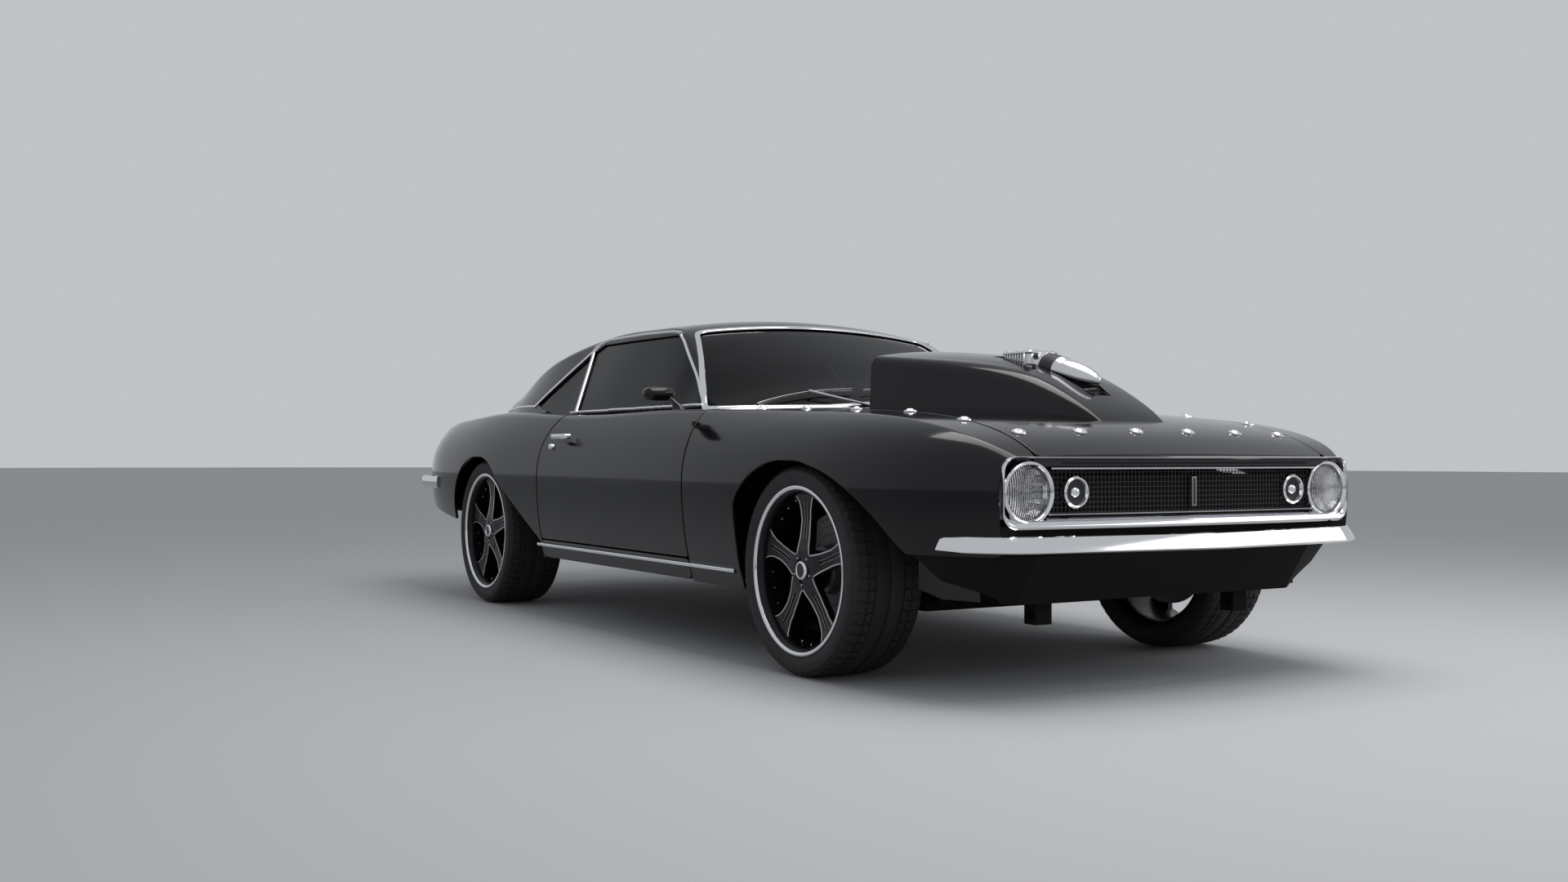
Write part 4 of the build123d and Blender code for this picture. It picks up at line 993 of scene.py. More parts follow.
def round_loop(wide, tall, turn, steps=6):
    """Rounded rectangle of half sizes, as pairs."""
    loop = []
    for u, v, start in ((1, -1, -90), (1, 1, 0), (-1, 1, 90), (-1, -1, 180)):
        for k in range(steps + 1):
            a = radians(start + 90 * k / steps)
            loop.append((u * (wide - turn) + turn * cos(a), v * (tall - turn) + turn * sin(a)))
    return np.array(loop)


FRAME_HALF, FRAME_LOW, FRAME_HIGH, FRAME_ROUND = 0.708, 0.489, 0.692, 0.046
ring_yz = round_loop(FRAME_HALF, (FRAME_HIGH - FRAME_LOW) / 2, FRAME_ROUND, 8)
ring_yz = ring_yz + (0, (FRAME_HIGH + FRAME_LOW) / 2)
ring_yz = even_path(ring_yz, 0.012, True)
ring_way = unit(np.roll(ring_yz, -1, 0) - np.roll(ring_yz, 1, 0))
ring_in = trail(0, -ring_way[:, 1], ring_way[:, 0])
ring_path = trail(nose_x(ring_yz[:, 0]), ring_yz[:, 0], ring_yz[:, 1])
ring_wide = 0.42 + 0.58 * np.clip(ring_in[:, 2], 0, 1) - 0.22 * np.clip(-ring_in[:, 2], 0, 1)
frame_profile = [
    (0.0, -0.002), (0.0, 0.003), (0.003, 0.006), (0.007, 0.0065), (0.011, 0.005), (0.017, 0.0),
    (0.021, -0.003), (0.024, -0.003), (0.030, -0.014), (0.036, -0.028), (0.036, -0.034), (0.0, -0.012),
]
nose_frame = shaped("nose_frame", *swept(ring_path, ring_in, X_WAY, frame_profile, True, ring_wide), 32)
dressed(nose_frame, chrome, "body", "chrome", "grille_surround")
pierced = [(0.0, -0.020), (0.0, -0.010), (0.003, -0.006), (0.019, -0.004), (0.022, -0.006), (0.022, -0.020)]
bar = [(-0.004, -0.016), (-0.004, -0.004), (-0.002, 0.0), (0.002, 0.0), (0.004, -0.004), (0.004, -0.016)]
low_bar = [(0.8 * a, b - 0.004) for a, b in bar]
for name, half, z, profile, material, slot in (
    ("pierced_strip", 0.60, 0.6625, pierced, satin_black, "black_plastic"),
    ("upper_bar", 0.545, 0.6585, bar, chrome, "chrome"),
    ("lower_bar", 0.545, 0.5300, low_bar, chrome, "chrome"),
):
    y = np.linspace(-half, half, 61)
    piece = shaped(name, *swept(trail(nose_x(y), y, z), Z_WAY, X_WAY, profile), 40)
    dressed(piece, material, "body", slot)


def tree_with(name, *sockets):
    """A geometry tree whose first input is points, with named inputs for its sizes and its material."""
    tree = bpy.data.node_groups.new(name, "GeometryNodeTree")
    tree.interface.new_socket("Points", in_out="INPUT", socket_type="NodeSocketGeometry")
    for label, kind in sockets:
        tree.interface.new_socket(label, in_out="INPUT", socket_type="NodeSocket" + kind)
    tree.interface.new_socket("Mesh", in_out="OUTPUT", socket_type="NodeSocketGeometry")
    return tree, tree.nodes.new("NodeGroupInput").outputs, tree.nodes.new("NodeGroupOutput").inputs


def finish_tree(tree, mesh, material, out):
    """Ends a tree: one real mesh in one material."""
    whole = add_node(tree, "GeometryNodeRealizeInstances", Geometry=mesh)
    coloured = add_node(tree, "GeometryNodeSetMaterial", Geometry=whole.outputs[0], Material=material)
    tree.links.new(coloured.outputs[0], out[0])


def way_of(tree):
    """Rotation that points Z along each point's way and X along its run."""
    vector, align = {"data_type": "FLOAT_VECTOR"}, "FunctionNodeAlignRotationToVector"
    way = add_node(tree, "GeometryNodeInputNamedAttribute", vector, Name="way").outputs[0]
    run = add_node(tree, "GeometryNodeInputNamedAttribute", vector, Name="run").outputs[0]
    first = add_node(tree, align, {"axis": "Z"}, Vector=way).outputs[0]
    return add_node(tree, align, {"axis": "X", "pivot_axis": "Z"}, Rotation=first, Vector=run).outputs[0]


def at_points(tree, given, shape):
    """Copies of a shape at the tree's points."""
    copies = {"Points": given["Points"], "Instance": shape.outputs[0], "Rotation": way_of(tree)}
    return add_node(tree, "GeometryNodeInstanceOnPoints", **copies).outputs[0]


sizes = [(label, "Float") for label in ("Base Radius", "Top Radius", "Height")]
stud_tree, given, out = tree_with("round_fixings", *sizes, ("Material", "Material"))
radii = {"Radius_Bottom": given["Base Radius"], "Radius_Top": given["Top Radius"]}
stud = add_node(stud_tree, "GeometryNodeMeshCone", Vertices=14, Depth=given["Height"], **radii)
finish_tree(stud_tree, at_points(stud_tree, given, stud), given["Material"], out)
block_tree, given, out = tree_with("block_rows", ("Size", "Vector"), ("Material", "Material"))
block = add_node(block_tree, "GeometryNodeMeshCube", Size=given["Size"])
finish_tree(block_tree, at_points(block_tree, given, block), given["Material"], out)


def spread(name, tree, points, way=Z_WAY, run=X_WAY, links=(), **values):
    """One plain mesh of the tree's shape at every point, or along every link between points."""
    points = np.asarray(points, float)
    seed = bpy.data.meshes.new(name + "_points")
    seed.from_pydata(points.tolist(), links, [])
    for label, data in (("way", way), ("run", run)):
        attribute = seed.attributes.new(label, "FLOAT_VECTOR", "POINT")
        attribute.data.foreach_set("vector", np.broadcast_to(np.asarray(data, float), points.shape).ravel())
    piece = put(name, seed)
    modifier = piece.modifiers.new("rows", "NODES")
    modifier.node_group = tree
    for item in tree.interface.items_tree:
        key = item.name.replace(" ", "_")
        if item.in_out == "INPUT" and key in values:
            modifier[item.identifier] = values[key]
    bpy.context.view_layer.update()
    grown = bpy.data.meshes.new_from_object(piece.evaluated_get(bpy.context.evaluated_depsgraph_get()))
    piece.modifiers.remove(modifier)
    piece.data = grown
    grown.name = name
    return piece


HOLE_HALF, HOLE_PITCH, HOLE_BACK, HOLE_Z = 0.50, 0.0095, 0.0045, 0.6735
hole_y = np.arange(-HOLE_HALF, HOLE_HALF + 0.0001, HOLE_PITCH)
holes = trail(nose_x(hole_y) - HOLE_BACK, hole_y, HOLE_Z)
# The strip's holes are not cut: each is a small near-black block set in the strip, painted shade for the hole.
dark = grained("dark_recess", (0.002, 0.002, 0.002), 0.8, 0.1, 200.0)
slots = spread("strip_holes", block_tree, holes, X_WAY, Y_WAY, Size=(0.0055, 0.006, 0.0012), Material=dark)
dressed(slots, dark, "body", "black_plastic")

wire_inputs = (("Wire", "Float"), ("Bow", "Float"), ("Material", "Material"))
mesh_tree, given, out = tree_with("square_mesh", *wire_inputs)
times, counted = {"operation": "MULTIPLY"}, {"mode": "COUNT"}
upright = add_node(mesh_tree, "GeometryNodeMeshToCurve", Mesh=given["Points"]).outputs[0]
fine = add_node(mesh_tree, "GeometryNodeResampleCurve", counted, Curve=upright, Count=33).outputs[0]
there = add_node(mesh_tree, "GeometryNodeInputPosition").outputs[0]
y = add_node(mesh_tree, "ShaderNodeSeparateXYZ", Vector=there).outputs[1]
square = add_node(mesh_tree, "ShaderNodeMath", times, i0=y, i1=y).outputs[0]
bend = add_node(mesh_tree, "ShaderNodeMath", times, i0=square, i1=given["Bow"]).outputs[0]
shift = add_node(mesh_tree, "ShaderNodeCombineXYZ", X=bend).outputs[0]
bowed = add_node(mesh_tree, "GeometryNodeSetPosition", Geometry=fine, Offset=shift).outputs[0]
square_wire = {"Width": given["Wire"], "Height": given["Wire"]}
section = add_node(mesh_tree, "GeometryNodeCurvePrimitiveQuadrilateral", **square_wire).outputs[0]
wires = add_node(mesh_tree, "GeometryNodeCurveToMesh", Curve=bowed, Profile_Curve=section)
finish_tree(mesh_tree, wires.outputs[0], given["Material"], out)
GRILLE_HALF, GRILLE_LOW, GRILLE_HIGH, PITCH = 0.600, 0.528, 0.656, 0.0142
UPRIGHT_X, LEVEL_X, POST_Z = NOSE_X - 0.030, NOSE_X - 0.0315, 0.590
ends = []
for y in np.arange(-GRILLE_HALF, GRILLE_HALF + 0.001, PITCH):
    ends += [(UPRIGHT_X, y, GRILLE_LOW), (UPRIGHT_X, y, GRILLE_HIGH)]
for z in np.arange(GRILLE_LOW + 0.006, GRILLE_HIGH, PITCH):
    ends += [(LEVEL_X, -GRILLE_HALF, z), (LEVEL_X, GRILLE_HALF, z)]
links = [(2 * i, 2 * i + 1) for i in range(len(ends) // 2)]
wire_sizes = {"Wire": 0.0019, "Bow": -NOSE_BOW / NOSE_HALF**2}
grille_wires = spread("grille_wires", mesh_tree, ends, links=links, Material=wire_metal, **wire_sizes)
dressed(grille_wires, wire_metal, "body", "chrome")
post = [
    (-0.046, -0.030), (-0.046, -0.016), (-0.043, -0.012), (0.043, -0.012), (0.046, -0.016), (0.046, -0.030),
]
inlay = [
    (-0.040, -0.020), (-0.040, -0.0118), (-0.039, -0.0114), (0.039, -0.0114), (0.040, -0.0118),
    (0.040, -0.020),
]
for name, half, profile, material, slot in (
    ("grille_post", 0.009, post, chrome, "chrome"),
    ("grille_post_inlay", 0.0045, inlay, satin_black, "black_plastic"),
):
    post_path = trail(NOSE_X, np.linspace(-half, half, 4), POST_Z)
    dressed(shaped(name, *swept(post_path, Z_WAY, X_WAY, profile), 30), material, "body", slot)

# Lamps: sealed glass units with vertical flutes over a silvered bowl, held by chrome rims; small parking
# lamps with a bright lens in a dark cone inside a chrome cup; moulded red rear lamps in bright frames.
def turned(profile, steps=48, axis="y"):
    """Points and faces of a profile of radius and place, turned about an axis."""
    turns = np.linspace(0, 2 * pi, steps, endpoint=False)
    profile = np.asarray(profile, float)
    r, a = profile[:, 0][None], profile[:, 1][None]
    c, s = np.cos(turns)[:, None], np.sin(turns)[:, None]
    k = len(profile)
    flat = np.broadcast_to(a, (steps, k))
    rings = np.stack([r * s, flat, r * c], -1) if axis == "y" else np.stack([flat, r * s, r * c], -1)
    faces = []
    for i in range(steps):
        j = (i + 1) % steps
        faces += [(i * k + n, i * k + n + 1, j * k + n + 1, j * k + n) for n in range(k - 1)]
    return rings.reshape(-1, 3), faces


def moved(form, offset, hand):
    """A form set at a place on one side of the car."""
    points, faces = form
    return points * (1, hand, 1) + np.array(offset) * (1, hand, 1), faces


def laid(loop, middle, first, second):
    """A flat loop of pairs, laid from its middle along two directions."""
    return np.asarray(middle) + loop[:, :1] * np.asarray(first) + loop[:, 1:] * np.asarray(second)


def stacked(loops):
    """Closed form through loops with the same number of points."""
    return np.concatenate(loops), ring_faces(len(loops), len(loops[0]))


lamp_glass, place, plug = finish_named(
    "fluted_lamp_glass", Base_Color=(1.0, 1.0, 1.0, 1), Roughness=0.01, Transmission_Weight=1.0, IOR=1.4
)
across = {"bands_direction": "Y", "wave_profile": "SIN"}
flutes = place.node("TexWave", across, Vector=place, Scale=46.0, Distortion=0.6)
plug(Normal=flutes.bump(0.8, 0.003))
silvering = grained("silvered_bowl", (0.97, 0.97, 0.97), 0.10, 0.10, 30.0, Metallic=1.0)
LAMP_Y, LAMP_Z, LAMP_X = 0.614, 0.591, 2.212
SMALL_Y, SMALL_BACK = 0.448, 0.010
rim = [
    (0.0765, -0.030), (0.0765, -0.004), (0.080, 0.001), (0.086, 0.003), (0.0895, 0.000), (0.0905, -0.006),
    (0.0905, -0.040), (0.0765, -0.030),
]
bowl = [
    (0.0, -0.060), (0.020, -0.058), (0.045, -0.048), (0.064, -0.032), (0.0765, -0.012), (0.0765, -0.016),
    (0.0, -0.064),
]
glass_face = [
    (0.0, 0.004), (0.025, 0.003), (0.050, -0.001), (0.068, -0.006), (0.0768, -0.011), (0.0768, -0.014),
    (0.068, -0.0105), (0.050, -0.006), (0.025, -0.002), (0.0, -0.001),
]
cap = [(0.0, -0.020), (0.014, -0.022), (0.016, -0.030), (0.014, -0.044), (0.0, -0.046)]
small_cup = [
    (0.0, -0.020), (0.034, -0.014), (0.038, 0.0), (0.042, 0.002), (0.046, -0.002), (0.046, -0.030),
    (0.0, -0.030),
]
small_cone = [(0.0, -0.011), (0.018, -0.013), (0.0345, -0.0085), (0.0358, -0.0125), (0.0, -0.0165)]
small_lens = [(0.0, 0.002), (0.009, 0.0), (0.015, -0.006), (0.0165, -0.0135), (0.0, -0.0135)]
for side, hand in HANDS.items():
    last = side == "left"
    for name, profile, material, slot in (
        ("lamp_rim", rim, chrome, "chrome"),
        ("lamp_bowl", bowl, silvering, "chrome"),
        ("lamp_cap", cap, chrome, "chrome"),
        ("lamp_glass", glass_face, lamp_glass, "lamp"),
    ):
        form = moved(turned(profile, 64, "x"), (LAMP_X, LAMP_Y, LAMP_Z), hand)
        piece = shaped(f"{name}_{side}", *form, 50)
        dressed(piece, material, "body", slot, *when(last and name == "lamp_glass", "headlamps"))
    small_x = float(nose_x(SMALL_Y)) - SMALL_BACK
    for part, profile, finish, kind in (
        ("lens", small_lens, chrome, "chrome"),
        ("cone", small_cone, satin_black, "black_plastic"),
        ("cup", small_cup, chrome, "chrome"),
    ):
        form = moved(turned(profile, 48, "x"), (small_x, SMALL_Y, LAMP_Z), hand)
        piece = shaped(f"parking_{part}_{side}", *form, 40)
        dressed(piece, finish, "body", kind, *when(last and part == "cup", "parking_lamps"))
red, place, plug = finish_named("red_lamp_plastic", Base_Color=(0.30, 0.006, 0.008, 1), Coat_Weight=0.6)
prisms = place.node("TexWave", across, Vector=place, Scale=60.0)
plug(Roughness=0.12 + 0.06 * prisms, Normal=prisms.bump(0.4, 0.001))
TAIL_LAMP_Y, TAIL_LAMP_Z, TAIL_LAMP_OUT = (-0.520, -0.370, 0.370, 0.520), 0.685, 0.008
RED_HALF, RED_TALL, RED_ROUND = 0.066, 0.043, 0.012
for n, y in enumerate(TAIL_LAMP_Y):
    rows = []
    for grown, back in ((0.0, 0.0), (0.0, 0.008), (-0.004, 0.012), (-0.012, 0.0135)):
        loop = round_loop(RED_HALF + grown, RED_TALL + grown, RED_ROUND, 4)
        rows.append(laid(loop, (TAIL_X - TAIL_LAMP_OUT - back, y, TAIL_LAMP_Z), Y_WAY, Z_WAY))
    piece = shaped(f"tail_lamp_{n}", *stacked(rows), 30)
    dressed(piece, red, "body", "tail_lamp", *when(n == 3, "tail_lamps"))
    path = even_path(rows[0] - 0.002 * X_WAY, 0.006, True)
    piece = strip_along(
        f"tail_lamp_frame_{n}", path, np.broadcast_to(-X_WAY, path.shape), 0.008, 0.010, True,
    )
    dressed(piece, chrome, "body", "chrome")

# Bumpers: heavy pressed blades, chromed and bolted to the rails. The front one comes to a point at the
# centre with its lower edge forward; the rear one wraps round the quarters.
half_front = [(2.345 - 0.069 * t, -0.624 * t) for t in np.linspace(0, 1, 26)]
half_front += bow((2.276, -0.624), (2.206, -0.754), (2.062, -0.828), 26)[1:]
front_plan = np.array([(x, -y) for x, y in half_front[:0:-1]] + half_front)
blade = [
    (0.025, -0.050), (0.025, -0.027), (0.0225, -0.0225), (0.008, -0.0135), (-0.008, -0.005),
    (-0.0165, -0.0005), (-0.0195, -0.0015), (-0.023, -0.008), (-0.025, -0.014), (-0.025, -0.044),
]
half_rear = [
    (-2.345, 0), (-2.341, -0.55), (-2.332, -0.70), (-2.314, -0.80), (-2.28, -0.862), (-2.215, -0.892),
    (-2.06, -0.905), (-1.917, -0.911),
]
half_rear = soft_loop(even_path(half_rear, 0.02), False, 4)
rear_plan = np.concatenate([half_rear[:0:-1] * (1, -1), half_rear])
tube = [
    (0.029, -0.030), (0.029, -0.008), (0.026, -0.003), (0.014, -0.0005), (0.0, 0.0), (-0.014, -0.0005),
    (-0.026, -0.003), (-0.029, -0.008), (-0.029, -0.030),
]
TIP_FROM, TIP_TO = 0.80, 0.868
for name, plan, z, profile, tip, node in (
    ("front_blade", front_plan, 0.447, blade, 0.55, "front_bumper"),
    ("rear_blade", rear_plan, 0.547, tube, 1.0, "rear_bumper"),
):
    path = trail(plan[:, 0], plan[:, 1], z)
    outward = unit(np.cross(np.gradient(path, axis=0), Z_WAY))
    outward *= np.sign(np.sum(outward[:, :2] * plan, 1))[:, None]
    narrow = np.interp(np.abs(plan[:, 1]), [TIP_FROM, TIP_TO], [1.0, tip])
    piece = shaped(name, *swept(path, Z_WAY, outward, profile, False, narrow), 22)
    dressed(piece, chrome, "body", "chrome", node)

# Tyres: low black radials of moulded rubber, with ribs and rows of blocks on the tread and a plain sidewall,
# pressed onto the rims' beads.
TRACK_MID = 0.7525
AXLES = {"front": FRONT_AXLE, "rear": REAR_AXLE}
rubber, place, plug = finish_named("tyre_rubber", Base_Color=(0.011, 0.011, 0.012, 1))
dust = place.noise(34.0, 5.0)
plug(Roughness=0.58 + 0.24 * dust, Normal=place.noise(700.0, 2.0).bump(0.2, 0.0003))
sidewall = [
    (0.2525, 0.866), (0.258, 0.8735), (0.264, 0.8775), (0.2655, 0.8795), (0.2685, 0.8795), (0.270, 0.8782),
    (0.284, 0.8830), (0.2985, 0.8848), (0.3100, 0.8818), (0.3115, 0.8826), (0.3135, 0.8816),
    (0.3145, 0.8795), (0.3205, 0.8735), (0.3245, 0.8655), (0.3265, 0.8560), (0.3272, 0.8340),
]
middle_ribs = [
    (0.3272, 0.8035), (0.3314, 0.8025), (0.3318, 0.8000), (0.3319, 0.7590), (0.3312, 0.7570),
    (0.3275, 0.7565),
]
tyre_half = sidewall + middle_ribs
tyre_loop = tyre_half + [(r, 2 * TRACK_MID - y) for r, y in tyre_half[::-1]] + [tyre_half[0]]
PITCHES = 58
turns = np.linspace(0, 2 * pi, PITCHES, endpoint=False)
radial, around = trail(np.sin(turns), 0, np.cos(turns)), trail(np.cos(turns), 0, -np.sin(turns))
# Columns: radius, place across, lean outward, slant, and each block's size.
tread_rows = (
    (0.3276, 0.8180, 0.0, 0.0, (0.0285, 0.0215, 0.0080)),
    (0.3254, 0.8495, 0.16, 0.34, (0.0285, 0.0330, 0.0066)),
    (0.3208, 0.8695, 0.62, 0.34, (0.0280, 0.0120, 0.0060)),
)


def placed_wheel(points, axle, hand):
    """Points made about a wheel's centre line, set at one wheel."""
    return np.asarray(points) * (1, hand, 1) + (AXLES[axle], 0, AXLE_Z)


for axle in AXLES:
    for side, hand in HANDS.items():
        wheel = f"wheel_{axle}_{side}"
        at, faces = turned(tyre_loop, 96)
        carcass = shaped(f"tyre_carcass_{axle}_{side}", placed_wheel(at, axle, hand), faces, 38)
        dressed(carcass, rubber, wheel, "tyre", f"tyre_{axle}_{side}")
        for row, (r, y, lean, slant, size) in enumerate(tread_rows):
            for flip in (1, -1):
                middle = placed_wheel(radial * r + (TRACK_MID + flip * (y - TRACK_MID)) * Y_WAY, axle, hand)
                way = (radial + lean * flip * Y_WAY) * (1, hand, 1)
                run = (around + slant * flip * Y_WAY - lean * slant * radial) * (1, hand, 1)
                name = f"tread_{row}_{flip}_{axle}_{side}"
                blocks = spread(name, block_tree, middle, way, run, Size=size, Material=rubber)
                dressed(blocks, rubber, wheel, "tyre")

# Wheels: cast five-spoke wheels in gloss black, held by five nuts, with milled bright edges, a polished outer
# lip, a small plain centre cap and bright rivets round the barrel, in front of drilled iron discs; thin bright
# strips along each spoke's groove are painted highlight, and the discs' holes are painted shade.
black = (0.004, 0.004, 0.005)
wheel_black = grained("wheel_black_enamel", black, 0.22, 0.10, 90.0, 3.0, Specular_IOR_Level=0.3)
milled = grained("milled_alloy", (0.50, 0.50, 0.51), 0.26, 0.12, 900.0, 2.0, (0.12, 0.0002), Metallic=1.0)
iron = grained("turned_disc_iron", (0.17, 0.17, 0.175), 0.42, 0.2, 120.0, 4.0, Metallic=0.8)
SPOKES, GROOVE_HALF, EDGE_WIDE, NUT_R = 5, 0.0048, 0.0048, 0.0455
barrel = [
    (0.2514, 0.8735), (0.2490, 0.8735), (0.2440, 0.868), (0.2395, 0.860), (0.2370, 0.846), (0.2360, 0.800),
    (0.2330, 0.760), (0.2330, 0.680), (0.2360, 0.650), (0.2440, 0.636), (0.2514, 0.634), (0.2514, 0.8735),
]
lip = [
    (0.2515, 0.8600), (0.2515, 0.8730), (0.2530, 0.8770), (0.2560, 0.8795), (0.2600, 0.8805),
    (0.2640, 0.8803), (0.2662, 0.8785), (0.2655, 0.8768), (0.2600, 0.8755), (0.2550, 0.8720),
    (0.2540, 0.8600), (0.2515, 0.8600),
]
disc = [
    (0.0, 0.786), (0.066, 0.786), (0.074, 0.782), (0.078, 0.744), (0.084, 0.740), (0.175, 0.740),
    (0.178, 0.737), (0.178, 0.715), (0.175, 0.712), (0.084, 0.712), (0.0, 0.712),
]
hub = [
    (0.0, 0.8515), (0.056, 0.8515), (0.061, 0.849), (0.062, 0.845), (0.062, 0.792), (0.058, 0.788),
    (0.0, 0.788),
]
cap_ring = [
    (0.0215, 0.850), (0.0215, 0.8635), (0.0235, 0.8660), (0.0270, 0.8655), (0.0300, 0.8620),
    (0.0310, 0.8570), (0.0310, 0.850), (0.0215, 0.850),
]
cap_face = [(0.0, 0.8642), (0.012, 0.8638), (0.0216, 0.8625), (0.0216, 0.850), (0.0, 0.850)]
spoke_r = np.concatenate([np.linspace(0.040, 0.19, 22), np.linspace(0.197, 0.2475, 14)])


def spoke_half(r):
    """Half-width of a spoke at a radius."""
    return np.interp(
        r,
        [0.040, 0.050, 0.075, 0.10, 0.15, 0.19, 0.21, 0.225, 0.238, 0.2475],
        [0.029, 0.0362, 0.0320, 0.0288, 0.0262, 0.0300, 0.0360, 0.0440, 0.0560, 0.0680],
    )


def spoke_face(r):
    """Place of a spoke's outer face at a radius."""
    return np.interp(
        r, [0.04, 0.066, 0.11, 0.16, 0.21, 0.2475], [0.8545, 0.8535, 0.8455, 0.8415, 0.8445, 0.8520],
    )


def slab(low, high, top, deep, r, edge=0.0012):
    """Closed bar along a radius: its sides and its face change along it."""
    low, high, top = (np.broadcast_to(np.asarray(v, float), r.shape) for v in (low, high, top))
    across = [low, low, low + edge, high - edge, high, high]
    out = [top - deep, top - edge, top, top, top - edge, top - deep]
    rings = np.stack([np.stack(across, 1), np.stack(out, 1), np.stack([r] * len(across), 1)], -1)
    return rings.reshape(-1, 3), ring_faces(len(r), len(across))


def joined(forms):
    """Several forms as one list of points and faces."""
    points, faces, start = [], [], 0
    for at, quads in forms:
        points.append(np.asarray(at, float))
        faces += [tuple(i + start for i in face) for face in quads]
        start += len(at)
    return np.concatenate(points), faces


def turned_round(forms, count, first=0.0):
    """Copies of forms about a wheel's centre line."""
    copies = []
    for k in range(count):
        a = first + 2 * pi * k / count
        turn = np.array([[cos(a), 0, -sin(a)], [0, 1, 0], [sin(a), 0, cos(a)]])
        copies += [(np.asarray(at) @ turn, faces) for at, faces in forms]
    return joined(copies)


half, face = spoke_half(spoke_r), spoke_face(spoke_r)
spoke_forms = [slab(-half, half, face - 0.0045, 0.020, spoke_r)]
rail_r = np.concatenate([[0.092], spoke_r[(spoke_r > 0.0935) & (spoke_r < 0.2165)], [0.218]])
for low, high in ((GROOVE_HALF, spoke_half(rail_r)), (-spoke_half(rail_r), -GROOVE_HALF)):
    spoke_forms.append(slab(low, high, spoke_face(rail_r), 0.006, rail_r))
for end_r in (np.linspace(0.040, 0.092, 8), np.linspace(0.218, 0.2475, 8)):
    spoke_forms.append(slab(-spoke_half(end_r), spoke_half(end_r), spoke_face(end_r), 0.006, end_r))
edge_r = np.concatenate([[0.0505], spoke_r[spoke_r > 0.052]])
edge_half, edge_face = spoke_half(edge_r), spoke_face(edge_r) + 0.0008
edge_and_highlight_forms = []
edge_in, edge_out = edge_half - EDGE_WIDE, edge_half + 0.0003
for low, high in ((edge_in, edge_out), (-edge_out, -edge_in)):
    edge_and_highlight_forms.append(slab(low, high, edge_face, 0.005, edge_r, 0.0006))
# Thin milled strips along both sides of each spoke's groove: painted highlight for the light caught on the
# groove's edge.
groove_highlight_r = np.linspace(0.094, 0.216, 14)
for low, high in ((0.0049, 0.0061), (-0.0061, -0.0049)):
    edge_and_highlight_forms.append(slab(low, high, spoke_face(groove_highlight_r) + 0.0006, 0.002, groove_highlight_r, 0.0003))
nut_turns = np.array([radians((k + 0.5) * 360 / SPOKES) for k in range(SPOKES)])
spokes_form, edges_and_highlights_form = turned_round(spoke_forms, SPOKES), turned_round(edge_and_highlight_forms, SPOKES)
gap_turns = np.array([a + radians(d) for a in nut_turns for d in (-13, 0, 13)])
rivet_way = -trail(np.sin(gap_turns), 0, np.cos(gap_turns))
rivets = -rivet_way * 0.2345 + (0, 0.822, 0)
hole_turns = np.array([radians(10 * k + 3.4 * ring) for ring in range(3) for k in range(36)])
hole_r = np.repeat([0.112, 0.136, 0.160], 36)
disc_holes = trail(hole_r * np.sin(hole_turns), 0.7402, hole_r * np.cos(hole_turns))
nuts = trail(NUT_R * np.sin(nut_turns), 0.8535, NUT_R * np.cos(nut_turns))
SKEW = (0.31, 0.44, 0.84)
for axle in AXLES:
    for side, hand in HANDS.items():
        wheel = f"wheel_{axle}_{side}"
        tag = f"{axle}_{side}"
        for name, form, material, sharp in (
            ("wheel_barrel", turned(barrel, 72), wheel_black, 40),
            ("wheel_lip", turned(lip, 96), chrome, 50),
            ("wheel_hub", turned(hub, 48), wheel_black, 40),
            ("brake_disc", turned(disc, 72), iron, 30),
            ("wheel_cap_ring", turned(cap_ring, 40), chrome, 50),
            ("wheel_cap_face", turned(cap_face, 40), satin_black, 40),
            ("wheel_spokes", spokes_form, wheel_black, 25),
            ("wheel_spoke_edges", edges_and_highlights_form, milled, 25),
        ):
            piece = shaped(f"{name}_{tag}", placed_wheel(form[0], axle, hand), form[1], sharp)
            dressed(piece, material, wheel, "wheel", *when(name == "wheel_barrel", wheel))
        for name, points, way, material, base, top, high in (
            ("barrel_rivets", rivets, rivet_way, milled, 0.0036, 0.0022, 0.004),
            # The disc's drilled holes are flat near-black studs on its face, painted shade for the holes.
            ("disc_holes", disc_holes, Y_WAY, dark, 0.0028, 0.0026, 0.0008),
            ("wheel_nuts", nuts, Y_WAY, milled, 0.0050, 0.0036, 0.006),
        ):
            points, way = placed_wheel(points, axle, hand), np.asarray(way, float) * (1, hand, 1)
            sizes = {"Base_Radius": base, "Top_Radius": top, "Height": high}
            piece = spread(f"{name}_{tag}", stud_tree, points, way, SKEW, Material=material, **sizes)
            dressed(piece, material, wheel, "wheel")

